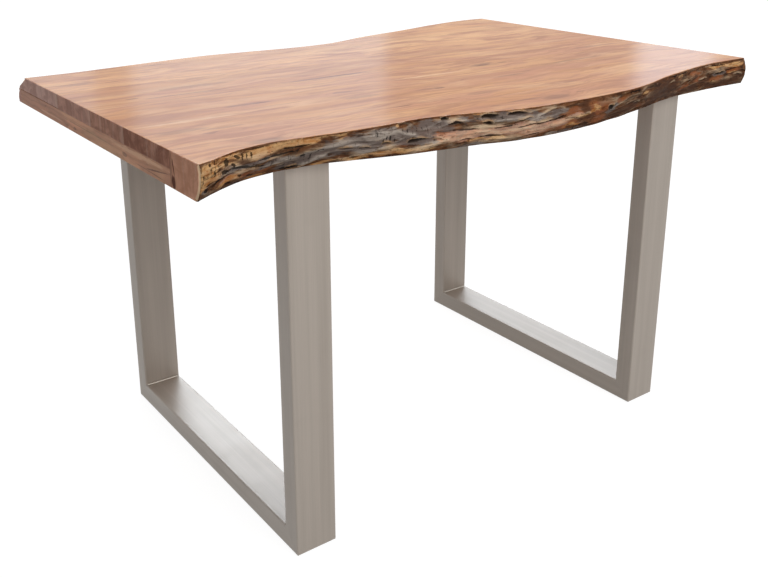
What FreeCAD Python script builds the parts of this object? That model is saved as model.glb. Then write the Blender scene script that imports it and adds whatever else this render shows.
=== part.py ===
import FreeCAD, Part
import math
import os

# Live edge dining table. Millimetres, +Z up, X along the table, -Y is the front long side.
# The origin is on the floor, under the middle of the whole table's box.
# A glued board top, doubled round its rim, lies on two closed frames of rectangular steel tube.

# ---- driving dimensions: the whole table
TABLE_HEIGHT = 760.0
TOP_LENGTH = 1320.0
FRAME_PITCH = 870.0           # between the middles of the two frames

# ---- top: a thin deck of boards, doubled at the rim so that it looks like a thick slab
DECK_THICKNESS = 27.0
RIM_THICKNESS = 55.0
FRONT_STAVE_WIDTH = 166.0
MIDDLE_STAVE_WIDTH = 143.0
BACK_STAVE_WIDTH = 165.0
END_BATTEN_WIDTH = 70.0
END_ARRIS_RADIUS = 1.5        # eased edges of the sawn ends
RECESS_CLEARANCE = 4.0        # between a frame's outer face and the rim that hides it

# Live edges, as overhangs past the frames' outer faces at evenly spaced stations, left to right.
FRONT_TOP_OVERHANGS = (95, 60, 52, 62, 62, 61, 81, 102, 110, 111, 107, 94, 68, 48, 31, 22, 24)
FRONT_BOTTOM_OVERHANGS = (83, 36, 18, 25, 48, 67, 79, 97, 102, 97, 85, 67, 46, 28, 22, 21, 23)
BACK_TOP_OVERHANGS = (-34, -33, -24, -12, -2, 3, -4, -12, -14, -1, 29, 50, 69, 93, 114, 128, 127)
BACK_BOTTOM_OVERHANGS = (25, 26, 33, 42, 47, 48, 41, 34, 34, 45, 68, 84, 100, 121, 137, 147, 145)
# How far each live edge swells past a straight slope, at the same stations.
FRONT_BULGES = (8,) * 17
BACK_BULGES = (20, 18, 13, 9, 7) + (6,) * 12

# ---- frames: mitred tube, welded, the wide side of the tube along X
FRAME_DEPTH = 690.0
TUBE_FACE = 80.0
TUBE_SIDE = 40.0
TUBE_WALL = 2.0
TUBE_CORNER_RADIUS = 3.0
FRAME_CORNER_RADIUS = 2.5     # ground round at the four outer corners
WELD_LEG = 3.0

# ---- floor glides, pushed into holes in the floor bars
GLIDE_HEAD_DIAMETER = 22.0
GLIDE_HEAD_THICKNESS = 1.5
GLIDE_STEM_DIAMETER = 10.0
GLIDE_STEM_LENGTH = 9.0
GLIDE_STEM_CLEARANCE = 0.1    # radial
GLIDE_END_INSET = 22.0        # from a bar's end to a glide's middle
GLIDE_EDGE_INSET = 20.0       # from a bar's long side to a glide's middle

# ---- fixings: a socket screw with a wide washer inside the top bar, into an insert in each board
SCREW_DIAMETER = 8.0
SCREW_GRIP = 16.0             # thread inside the insert
SCREW_HEAD_DIAMETER = 13.0
SCREW_HEAD_HEIGHT = 8.0
SOCKET_WIDTH = 6.0            # across flats
SOCKET_DEPTH = 4.0
WASHER_DIAMETER = 20.0
WASHER_THICKNESS = 2.0
SLOT_TRAVEL = 4.0             # lets the deck swell and shrink across its boards
SCREW_CLEARANCE = 0.5         # radial, in the top bar's slot
WASHER_CLEARANCE = 0.2        # radial, on the screw
ACCESS_CLEARANCE = 2.0        # radial, round the washer in the top bar's lower wall
INSERT_DIAMETER = 12.0
INSERT_LENGTH = 18.0
INSERT_BORE_CLEARANCE = 0.1   # radial, on the screw
INSERT_SEAT_CLEARANCE = 0.05  # radial, in the wood
INSERT_HOLE_EXTRA = 1.0       # drilled past the insert's end
FIXING_EDGE_MARGIN = 25.0     # least distance from an upright to a fixing's middle

# ---- values that follow
X_AXIS = FreeCAD.Vector(1, 0, 0)
Z_AXIS = FreeCAD.Vector(0, 0, 1)
OUTSIDE = 400.0               # how far a cutting solid reaches past what it cuts
DECK_UNDERSIDE = TABLE_HEIGHT - DECK_THICKNESS
RIM_UNDERSIDE = TABLE_HEIGHT - RIM_THICKNESS
HALF_LENGTH = TOP_LENGTH / 2
HALF_DEPTH = FRAME_DEPTH / 2
FRAME_BOTTOM = GLIDE_HEAD_THICKNESS
FRAME_TOP = DECK_UNDERSIDE
FRONT_SEAM = -HALF_DEPTH - RECESS_CLEARANCE
MIDDLE_SEAM = FRONT_SEAM + FRONT_STAVE_WIDTH
REAR_SEAM = MIDDLE_SEAM + MIDDLE_STAVE_WIDTH
BACK_SEAM = REAR_SEAM + BACK_STAVE_WIDTH
LIPPING_FACE = HALF_DEPTH + RECESS_CLEARANCE
FACE_LEVELS = 7               # rows of points down a live edge


def box(x0, x1, y0, y1, z0, z1):
    """Block between two corners."""
    return Part.makeBox(x1 - x0, y1 - y0, z1 - z0, FreeCAD.Vector(x0, y0, z0))


def disc(diameter, height, x, y, z):
    """Upright cylinder that stands on z."""
    return Part.makeCylinder(diameter / 2, height, FreeCAD.Vector(x, y, z), Z_AXIS)


def yz_prism(points, x0, length):
    """Solid of a closed outline in the YZ plane, from x0 along X."""
    corners = [FreeCAD.Vector(x0, y, z) for y, z in points]
    outline = Part.makePolygon(corners + corners[:1])
    return Part.Face(outline).extrude(X_AXIS * length)


def round_edges(solid, radius, test):
    """Rounds the edges of a solid whose middle point passes a test."""
    chosen = [edge for edge in solid.Edges if test(edge.CenterOfMass)]
    return solid.makeFillet(radius, chosen)


# ---- the top

def live_edge_cutter(side, top_overhangs, bottom_overhangs, bulges):
    """Solid whose inner face is a live edge. side is -1 at the front and 1 at the back."""
    last = len(top_overhangs) - 1
    stations = [-1] + list(range(last + 1)) + [last + 1]
    rows = []
    for station in stations:
        inside = min(max(station, 0), last)
        x = -HALF_LENGTH + TOP_LENGTH * station / last
        row = []
        for level in range(FACE_LEVELS):
            # one level above the top and one below the underside
            depth = (level - 1) / (FACE_LEVELS - 3)
            slope = bottom_overhangs[inside] - top_overhangs[inside]
            swell = bulges[inside] * 4 * depth * (1 - depth)
            overhang = top_overhangs[inside] + slope * depth + swell
            y = side * (HALF_DEPTH + overhang)
            row.append(FreeCAD.Vector(x, y, TABLE_HEIGHT - depth * RIM_THICKNESS))
        rows.append(row)
    surface = Part.BSplineSurface()
    surface.interpolate(rows)
    return surface.toShape().extrude(FreeCAD.Vector(0, side * OUTSIDE, 0))


def eased_board(y0, y1, z0, z1):
    """Board as long as the top, with the arrises of its two sawn ends eased where they show."""
    board = box(-HALF_LENGTH, HALF_LENGTH, y0, y1, z0, z1)
    levels = [TABLE_HEIGHT, RIM_UNDERSIDE]

    def shows(point):
        at_end = abs(abs(point.x) - HALF_LENGTH) < 0.01
        return at_end and min(abs(point.z - level) for level in levels) < 0.01

    return round_edges(board, END_ARRIS_RADIUS, shows)


def end_batten(side):
    """Cross-grain batten that doubles one sawn end, between the front board and the lipping."""
    outer = side * HALF_LENGTH
    inner = side * (HALF_LENGTH - END_BATTEN_WIDTH)
    x0, x1 = min(outer, inner), max(outer, inner)
    batten = box(x0, x1, FRONT_SEAM, LIPPING_FACE, RIM_UNDERSIDE, DECK_UNDERSIDE)

    def lower_arris(point):
        return abs(point.x - outer) < 0.01 and abs(point.z - RIM_UNDERSIDE) < 0.01

    return round_edges(batten, END_ARRIS_RADIUS, lower_arris)


def fixing_places():
    """Middles of the fixings across the table: one for each deck board inside the uprights."""
    low_limit = -HALF_DEPTH + TUBE_SIDE + FIXING_EDGE_MARGIN
    high_limit = -low_limit
    seams = (FRONT_SEAM, MIDDLE_SEAM, REAR_SEAM, BACK_SEAM, LIPPING_FACE)
    places = []
    for low, high in zip(seams, seams[1:]):
        places.append((max(low, low_limit) + min(high, high_limit)) / 2)
    return places


def insert_holes():
    """Blind holes in the underside of the deck for the inserts of both frames."""
    diameter = INSERT_DIAMETER + 2 * INSERT_SEAT_CLEARANCE
    depth = INSERT_LENGTH + INSERT_HOLE_EXTRA
    holes = []
    for side in (-1, 1):
        for y in fixing_places():
            holes.append(disc(diameter, depth, side * FRAME_PITCH / 2, y, DECK_UNDERSIDE))
    return Part.makeCompound(holes)


def make_top():
    """Boards of the top, by node name."""
    front_cutter = live_edge_cutter(-1, FRONT_TOP_OVERHANGS, FRONT_BOTTOM_OVERHANGS, FRONT_BULGES)
    back_cutter = live_edge_cutter(1, BACK_TOP_OVERHANGS, BACK_BOTTOM_OVERHANGS, BACK_BULGES)
    front_reach = FRONT_SEAM - OUTSIDE / 2
    back_reach = LIPPING_FACE + OUTSIDE / 2
    holes = insert_holes()
    deck = (DECK_UNDERSIDE, TABLE_HEIGHT)
    return {
        "front_live_edge_board": eased_board(
            front_reach, FRONT_SEAM, RIM_UNDERSIDE, TABLE_HEIGHT).cut(front_cutter),
        "front_deck_stave": eased_board(FRONT_SEAM, MIDDLE_SEAM, *deck).cut(holes),
        "middle_deck_stave": eased_board(MIDDLE_SEAM, REAR_SEAM, *deck).cut(holes),
        "back_deck_stave": eased_board(REAR_SEAM, BACK_SEAM, *deck).cut(holes),
        "back_live_edge_board": eased_board(BACK_SEAM, back_reach, *deck).cut(
            Part.makeCompound([holes, back_cutter])),
        "back_edge_lipping": eased_board(
            LIPPING_FACE, back_reach, RIM_UNDERSIDE, DECK_UNDERSIDE).cut(back_cutter),
        "left_end_batten": end_batten(-1),
        "right_end_batten": end_batten(1),
    }


# ---- the frames

def rounded_rectangle(width, height, radius):
    """Closed outline round the origin in the XY plane."""
    shape = Part.makePlane(width, height, FreeCAD.Vector(-width / 2, -height / 2, 0))
    block = shape.extrude(Z_AXIS)
    upright_edges = [edge for edge in block.Edges if abs(edge.tangentAt(0).z) > 0.5]
    rounded = block.makeFillet(radius, upright_edges)
    floor = min(rounded.Faces, key=lambda face: face.CenterOfMass.z)
    return floor.OuterWire


def tube(length):
    """Hollow tube along Z from the origin, its wide side along X."""
    outer = Part.Face(rounded_rectangle(TUBE_FACE, TUBE_SIDE, TUBE_CORNER_RADIUS))
    inner = Part.Face(rounded_rectangle(
        TUBE_FACE - 2 * TUBE_WALL, TUBE_SIDE - 2 * TUBE_WALL, TUBE_CORNER_RADIUS - TUBE_WALL))
    return outer.cut(inner).extrude(Z_AXIS * length)


def frame_outline(x0):
    """Solid of a whole frame's outer shape, with its four corners ground round."""
    block = box(x0, x0 + TUBE_FACE, -HALF_DEPTH, HALF_DEPTH, FRAME_BOTTOM, FRAME_TOP)

    def corner(point):
        at_side = abs(abs(point.y) - HALF_DEPTH) < 0.01
        return at_side and min(abs(point.z - z) for z in (FRAME_BOTTOM, FRAME_TOP)) < 0.01

    return round_edges(block, FRAME_CORNER_RADIUS, corner)


def upright(x, side, outline):
    """Mitred upright at the front, side -1, or the back, side 1."""
    post = tube(FRAME_TOP - FRAME_BOTTOM)
    post.translate(FreeCAD.Vector(x, side * (HALF_DEPTH - TUBE_SIDE / 2), FRAME_BOTTOM))
    outer, inner = side * HALF_DEPTH, side * (HALF_DEPTH - TUBE_SIDE)
    mitre = yz_prism([
        (outer, FRAME_BOTTOM),
        (inner, FRAME_BOTTOM + TUBE_SIDE),
        (inner, FRAME_TOP - TUBE_SIDE),
        (outer, FRAME_TOP),
    ], x - TUBE_FACE / 2, TUBE_FACE)
    return post.common(mitre).common(outline)


def crossbar(x, outer_level, inner_level, outline):
    """Mitred bar along Y, between its outer level at floor or deck and its inner level."""
    bar = tube(FRAME_DEPTH)
    bar.rotate(FreeCAD.Vector(0, 0, 0), X_AXIS, -90)
    bar.translate(FreeCAD.Vector(x, -HALF_DEPTH, (outer_level + inner_level) / 2))
    mitre = yz_prism([
        (-HALF_DEPTH, outer_level),
        (HALF_DEPTH, outer_level),
        (HALF_DEPTH - TUBE_SIDE, inner_level),
        (-HALF_DEPTH + TUBE_SIDE, inner_level),
    ], x - TUBE_FACE / 2, TUBE_FACE)
    return bar.common(mitre).common(outline)


def weld_beads(x):
    """Beads across the four inner corners of a frame, as separate solids."""
    length = TUBE_FACE - 2 * TUBE_CORNER_RADIUS
    inner_side = HALF_DEPTH - TUBE_SIDE
    beads = []
    for y_sign in (-1, 1):
        for level, z_sign in ((FRAME_BOTTOM + TUBE_SIDE, 1), (FRAME_TOP - TUBE_SIDE, -1)):
            y = y_sign * inner_side
            corner = FreeCAD.Vector(x - length / 2, y, level)
            along = corner + FreeCAD.Vector(0, -y_sign * WELD_LEG, 0)
            up = corner + FreeCAD.Vector(0, 0, z_sign * WELD_LEG)
            crown = WELD_LEG * math.sin(math.radians(40))
            swell = corner + FreeCAD.Vector(0, -y_sign * crown, z_sign * crown)
            outline = Part.Wire([
                Part.makeLine(corner, along),
                Part.Arc(along, swell, up).toShape(),
                Part.makeLine(up, corner),
            ])
            beads.append(Part.Face(outline).extrude(X_AXIS * length))
    return Part.makeCompound(beads)


def glide_places(x):
    """Middles of a frame's four floor glides."""
    half_face = TUBE_FACE / 2 - GLIDE_EDGE_INSET
    half_depth = HALF_DEPTH - GLIDE_END_INSET
    return [(x + i * half_face, j * half_depth) for i in (-1, 1) for j in (-1, 1)]


def floor_glides(x):
    """Plastic glides: a thin head under the floor bar and a stem through its wall."""
    glides = []
    for gx, gy in glide_places(x):
        head = disc(GLIDE_HEAD_DIAMETER, GLIDE_HEAD_THICKNESS, gx, gy, 0)
        stem = disc(GLIDE_STEM_DIAMETER, GLIDE_HEAD_THICKNESS + GLIDE_STEM_LENGTH, gx, gy, 0)
        glides.append(head.fuse(stem).removeSplitter())
    return Part.makeCompound(glides)


def glide_holes(x):
    """Cutters for the glides' stems in the floor bar's lower wall."""
    diameter = GLIDE_STEM_DIAMETER + 2 * GLIDE_STEM_CLEARANCE
    return Part.makeCompound([
        disc(diameter, TUBE_SIDE / 2, gx, gy, 0) for gx, gy in glide_places(x)])


def fixing_cuts(x):
    """Cutters for the top bar: a slot in its upper wall and an access hole in its lower wall."""
    slot_width = SCREW_DIAMETER + 2 * SCREW_CLEARANCE
    access = WASHER_DIAMETER + 2 * ACCESS_CLEARANCE
    middle = FRAME_TOP - TUBE_SIDE / 2
    cuts = []
    for y in fixing_places():
        ends = [disc(slot_width, TUBE_SIDE, x, y + end * SLOT_TRAVEL / 2, middle)
                for end in (-1, 1)]
        flat = box(x - slot_width / 2, x + slot_width / 2,
                   y - SLOT_TRAVEL / 2, y + SLOT_TRAVEL / 2, middle, middle + TUBE_SIDE)
        cuts.append(flat.multiFuse(ends))
        cuts.append(disc(access, TUBE_SIDE, x, y, middle - TUBE_SIDE))
    return Part.makeCompound(cuts)


def make_frame(side, name):
    """Pieces of one frame with its fixings and glides, by node name."""
    x = side * FRAME_PITCH / 2
    outline = frame_outline(x - TUBE_FACE / 2)
    floor_bar = crossbar(x, FRAME_BOTTOM, FRAME_BOTTOM + TUBE_SIDE, outline)
    top_bar = crossbar(x, FRAME_TOP, FRAME_TOP - TUBE_SIDE, outline)
    return {
        name + "_front_upright": upright(x, -1, outline),
        name + "_back_upright": upright(x, 1, outline),
        name + "_floor_bar": floor_bar.cut(glide_holes(x)),
        name + "_top_bar": top_bar.cut(fixing_cuts(x)),
        name + "_corner_welds": weld_beads(x),
        name + "_floor_glides": floor_glides(x),
        name + "_fixing_screws": fixing_screws(x),
        name + "_screw_washers": screw_washers(x),
        name + "_threaded_inserts": threaded_inserts(x),
    }


# ---- the fixings

def hexagon_prism(width, height, x, y, z):
    """Six-sided prism, width across its flats, that stands on z."""
    radius = width / math.sqrt(3)
    corners = [
        FreeCAD.Vector(x + radius * math.cos(angle), y + radius * math.sin(angle), z)
        for angle in (math.radians(60 * step) for step in range(6))]
    outline = Part.makePolygon(corners + corners[:1])
    return Part.Face(outline).extrude(Z_AXIS * height)


def fixing_screws(x):
    """Socket screws that point up, with their heads inside the top bar."""
    seat = FRAME_TOP - TUBE_WALL - WASHER_THICKNESS
    shank_length = WASHER_THICKNESS + TUBE_WALL + SCREW_GRIP
    screws = []
    for y in fixing_places():
        head = disc(SCREW_HEAD_DIAMETER, SCREW_HEAD_HEIGHT, x, y, seat - SCREW_HEAD_HEIGHT)
        shank = disc(SCREW_DIAMETER, SCREW_HEAD_HEIGHT + shank_length, x, y,
                     seat - SCREW_HEAD_HEIGHT)
        socket = hexagon_prism(SOCKET_WIDTH, SOCKET_DEPTH, x, y, seat - SCREW_HEAD_HEIGHT)
        screws.append(head.fuse(shank).removeSplitter().cut(socket))
    return Part.makeCompound(screws)


def screw_washers(x):
    """Wide washers between the screws' heads and the top bar's upper wall."""
    level = FRAME_TOP - TUBE_WALL - WASHER_THICKNESS
    bore = SCREW_DIAMETER + 2 * WASHER_CLEARANCE
    return Part.makeCompound([
        disc(WASHER_DIAMETER, WASHER_THICKNESS, x, y, level).cut(
            disc(bore, WASHER_THICKNESS, x, y, level))
        for y in fixing_places()])


def threaded_inserts(x):
    """Bushes in the deck's underside that the screws go into."""
    bore = SCREW_DIAMETER + 2 * INSERT_BORE_CLEARANCE
    return Part.makeCompound([
        disc(INSERT_DIAMETER, INSERT_LENGTH, x, y, DECK_UNDERSIDE).cut(
            disc(bore, INSERT_LENGTH, x, y, DECK_UNDERSIDE))
        for y in fixing_places()])


def centre_on_origin(nodes):
    """Moves all pieces so that the middle of the table's box is over the origin."""
    whole = Part.makeCompound(list(nodes.values()))
    bounds = whole.optimalBoundingBox(False, False)
    shift = FreeCAD.Vector(-(bounds.XMin + bounds.XMax) / 2, -(bounds.YMin + bounds.YMax) / 2, 0)
    for shape in nodes.values():
        shape.translate(shift)


def main():
    nodes = {**make_top(), **make_frame(-1, "left"), **make_frame(1, "right")}
    centre_on_origin(nodes)
    os.makedirs("parts", exist_ok=True)
    for name, shape in nodes.items():
        shape.exportStep(os.path.join("parts", name + ".step"))
        print(name, "solids", len(shape.Solids), "valid", shape.isValid(),
              "litres", round(shape.Volume / 1e6, 4))


main()
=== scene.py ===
"""Looks of a live edge dining table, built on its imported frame.

Metres, +Z up, X along the table, -Y the front long side. Sawn boards, tubes and fixings keep their own solids
and get a finish. Boards with a live edge and the weld beads are modelled here, each in its node's place.
"""

import logging
import math
import random
from dataclasses import dataclass, field
from enum import Enum
from typing import Callable, Iterable, Optional, Sequence, Union

import bmesh
import bpy
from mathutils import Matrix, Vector, noise
from mathutils.bvhtree import BVHTree


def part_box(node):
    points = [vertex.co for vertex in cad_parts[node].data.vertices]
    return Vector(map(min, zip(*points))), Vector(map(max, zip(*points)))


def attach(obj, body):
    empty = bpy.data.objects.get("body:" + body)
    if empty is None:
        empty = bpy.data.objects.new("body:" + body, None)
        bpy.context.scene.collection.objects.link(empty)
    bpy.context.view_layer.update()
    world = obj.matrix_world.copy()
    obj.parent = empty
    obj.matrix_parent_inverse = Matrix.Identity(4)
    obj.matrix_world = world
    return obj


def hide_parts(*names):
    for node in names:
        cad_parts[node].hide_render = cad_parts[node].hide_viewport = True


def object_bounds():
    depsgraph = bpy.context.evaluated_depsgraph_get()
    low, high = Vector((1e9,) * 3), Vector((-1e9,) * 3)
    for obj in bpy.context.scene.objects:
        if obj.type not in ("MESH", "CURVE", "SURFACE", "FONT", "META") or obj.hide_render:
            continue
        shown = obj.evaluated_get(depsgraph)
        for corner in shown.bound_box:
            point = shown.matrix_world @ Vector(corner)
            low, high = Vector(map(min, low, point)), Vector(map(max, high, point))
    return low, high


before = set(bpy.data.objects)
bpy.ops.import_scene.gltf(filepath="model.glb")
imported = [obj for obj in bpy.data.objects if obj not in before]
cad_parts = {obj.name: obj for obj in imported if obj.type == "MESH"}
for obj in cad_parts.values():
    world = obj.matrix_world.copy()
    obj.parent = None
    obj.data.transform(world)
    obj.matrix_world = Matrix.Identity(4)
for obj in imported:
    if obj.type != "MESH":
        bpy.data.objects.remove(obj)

CAD_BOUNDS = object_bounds()
MM = 0.001
Colour = tuple[float, float, float, float]
Value = Union["Signal", bpy.types.NodeSocket, float, Sequence[float]]
Look = dict[str, Value]

log = logging.getLogger("live_edge_table")


def shade(red: int, green: int, blue: int) -> Colour:
    """Linear colour of a paint chart's values.

    Args:
        red: Red, 0 to 255.
        green: Green, 0 to 255.
        blue: Blue, 0 to 255.

    Returns:
        Linear red, green, blue and an alpha of 1.
    """
    parts = [value / 255 for value in (red, green, blue)]
    linear = [part / 12.92 if part <= 0.04045 else ((part + 0.055) / 1.055) ** 2.4 for part in parts]
    return (linear[0], linear[1], linear[2], 1.0)


def ease(value: float, low: float, high: float) -> float:
    """Smooth step from 0 at low to 1 at high."""
    share = min(max((value - low) / (high - low), 0.0), 1.0)
    return share * share * (3 - 2 * share)


def several(kind: type, *rows: Sequence[object]) -> tuple:
    """One object of a kind for each row of its fields."""
    return tuple(kind(*row) for row in rows)


class Axis(Enum):
    """Direction of a board's grain or of a tube's brushing."""

    X = 0
    Y = 1
    Z = 2


class Side(Enum):
    """Long side of the table, with the sign of Y that points out of it."""

    FRONT = -1
    BACK = 1


# ---------------------------------------------------------------- shader graphs


class Signal:
    """What a node gives: a number, a vector or a colour. Arithmetic on it adds the nodes for it."""

    def __init__(self, graph: "Graph", socket: bpy.types.NodeSocket) -> None:
        """Wraps an output socket of a graph."""
        self.graph = graph
        self.socket = socket

    def apply(self, operation: str, other: Value = 0.0) -> "Signal":
        """Result of a maths node, or of a vector maths node where this is a vector."""
        kind = "VectorMath" if self.socket.type == "VECTOR" else "Math"
        return Signal(self.graph, self.graph.add(kind, self, other, operation=operation).outputs[0])

    def __add__(self, other: Value) -> "Signal":
        """Sum."""
        return self.apply("ADD", other)

    def __sub__(self, other: Value) -> "Signal":
        """Difference."""
        return self.apply("SUBTRACT", other)

    def __mul__(self, other: Value) -> "Signal":
        """Product."""
        return self.apply("MULTIPLY", other)

    def __truediv__(self, other: Value) -> "Signal":
        """Quotient."""
        return self.apply("DIVIDE", other)

    def __pow__(self, other: Value) -> "Signal":
        """Power."""
        return self.apply("POWER", other)

    def __abs__(self) -> "Signal":
        """Size without its sign."""
        return self.apply("ABSOLUTE")

    def most(self, other: Value) -> "Signal":
        """The larger of two numbers."""
        return self.apply("MAXIMUM", other)

    def step(self, low: float, high: float) -> "Signal":
        """Smooth step from 0 at low to 1 at high, or down where low is the larger."""
        node = self.graph.add("MapRange", self, low, high, interpolation_type="SMOOTHSTEP")
        return Signal(self.graph, node.outputs[0])

    def parts(self) -> tuple["Signal", ...]:
        """X, Y and Z of a vector."""
        return tuple(self.graph.outputs(self.graph.add("SeparateXYZ", self)).values())


class Graph:
    """A node tree with short ways to add nodes and join them."""

    MIX_FIRST = 6
    MIX_SECOND = 7
    MIX_RESULT = 2

    def __init__(self, tree: bpy.types.NodeTree) -> None:
        """Empties the tree of a material, world or group."""
        self.tree = tree
        self.tree.nodes.clear()

    def add(self, kind: str, *values: Value, **settings: object) -> bpy.types.Node:
        """Adds a node.

        Args:
            kind: Name of the node type, without its ShaderNode prefix.
            *values: What its first inputs get, in their order.
            **settings: Properties to set on the node.

        Returns:
            The new node.
        """
        node = self.tree.nodes.new(kind if kind.startswith("Node") else "ShaderNode" + kind)
        for name, value in settings.items():
            setattr(node, name, value)
        for socket, value in zip(node.inputs, values):
            self.feed(socket, value)
        return node

    def feed(self, socket: bpy.types.NodeSocket, value: Value) -> None:
        """Links an input socket to an output, or sets its plain value.

        Args:
            socket: Input socket.
            value: Signal, output socket, number, vector or colour.
        """
        source = value.socket if isinstance(value, Signal) else value
        if isinstance(source, bpy.types.NodeSocket):
            self.tree.links.new(source, socket)
        else:
            socket.default_value = source

    def fill(self, node: bpy.types.Node, **inputs: Value) -> bpy.types.Node:
        """Feeds inputs of a node.

        Args:
            node: The node.
            **inputs: Values by input name, with underscores for spaces.

        Returns:
            The same node.
        """
        for name, value in inputs.items():
            self.feed(node.inputs[name.replace("_", " ")], value)
        return node

    def outputs(self, node: bpy.types.Node) -> dict[str, Signal]:
        """What a node gives, by output name."""
        return {socket.name: Signal(self, socket) for socket in node.outputs}

    def position(self) -> Signal:
        """Position in metres."""
        return self.outputs(self.add("TexCoord"))["Object"]

    def trait(self, name: str) -> Signal:
        """Number that the mesh carries under a name."""
        return self.outputs(self.add("Attribute", attribute_name=name))["Fac"]

    def join(self, x: Value, y: Value, z: Value) -> Signal:
        """Vector of three numbers."""
        return Signal(self, self.add("CombineXYZ", x, y, z).outputs[0])

    def blend(self, share: Value, first: Value, second: Value) -> Signal:
        """Mix of two colours.

        Args:
            share: How much of the second colour, 0 to 1.
            first: First colour.
            second: Second colour.

        Returns:
            The mixed colour.
        """
        node = self.add("Mix", share, data_type="RGBA")
        self.feed(node.inputs[self.MIX_FIRST], first)
        self.feed(node.inputs[self.MIX_SECOND], second)
        return Signal(self, node.outputs[self.MIX_RESULT])

    def layered(self, colour: Value, layers: Iterable[tuple[Value, Value]]) -> Signal:
        """Colour under several layers.

        Args:
            colour: The colour below.
            layers: Share and colour of each layer, from the lowest.

        Returns:
            The colour on top.
        """
        for share, tint in layers:
            colour = self.blend(share, colour, tint)
        return colour

    def noise(self, place: Signal, stretch: Sequence[float], detail: float = 3.0,
              rough: float = 0.55, warp: float = 0.0) -> Signal:
        """Cloudy noise with its own number of features to the metre along each axis.

        Args:
            place: Position in metres.
            stretch: Features to the metre along X, Y and Z.
            detail: Number of finer layers.
            rough: Strength of the finer layers.
            warp: How far the noise bends itself.

        Returns:
            A number about 0.5.
        """
        node = self.fill(self.add("TexNoise"), Vector=place * stretch, Scale=1.0, Detail=detail,
                         Roughness=rough, Distortion=warp)
        return Signal(self, node.outputs[0])

    def bump(self, height: Signal, distance: float, strength: float) -> Signal:
        """Normal of a height.

        Args:
            height: Height, 0 to 1.
            distance: Real height in metres of a full step.
            strength: Share of the effect.

        Returns:
            The normal.
        """
        node = self.fill(self.add("Bump"), Strength=strength, Distance=distance, Height=height)
        return Signal(self, node.outputs[0])


class EffectGroup:
    """A shader effect that several finishes share, built once as a node group."""

    title = ""
    inputs: dict[str, Optional[float]] = {}

    @classmethod
    def on(cls, graph: Graph, **inputs: Value) -> dict[str, Signal]:
        """Adds the group to a graph.

        Args:
            graph: Graph of a material.
            **inputs: Values by input name, with underscores for spaces.

        Returns:
            What the group gives, by output name.
        """
        tree = bpy.data.node_groups.get(cls.title) or cls._made()
        return graph.outputs(graph.fill(graph.add("Group", node_tree=tree), **inputs))

    @classmethod
    def _made(cls) -> bpy.types.NodeTree:
        """Makes the group, in which an input without a number is a vector.

        Returns:
            The group's node tree.
        """
        tree = bpy.data.node_groups.new(cls.title, "ShaderNodeTree")
        graph = Graph(tree)
        for name, value in cls.inputs.items():
            kind = "NodeSocketVector" if value is None else "NodeSocketFloat"
            socket = tree.interface.new_socket(name, in_out="INPUT", socket_type=kind)
            if value is not None:
                socket.default_value = value
        results = cls.build(graph, graph.outputs(graph.add("NodeGroupInput")))
        for name in results:
            tree.interface.new_socket(name, in_out="OUTPUT", socket_type="NodeSocketFloat")
        graph.add("NodeGroupOutput", *results.values())
        return tree

    @classmethod
    def build(cls, graph: Graph, source: dict[str, Signal]) -> dict[str, Signal]:
        """Builds the effect.

        Args:
            graph: Graph of the group.
            source: The group's inputs by name.

        Returns:
            The group's outputs by name.
        """
        raise NotImplementedError


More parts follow.
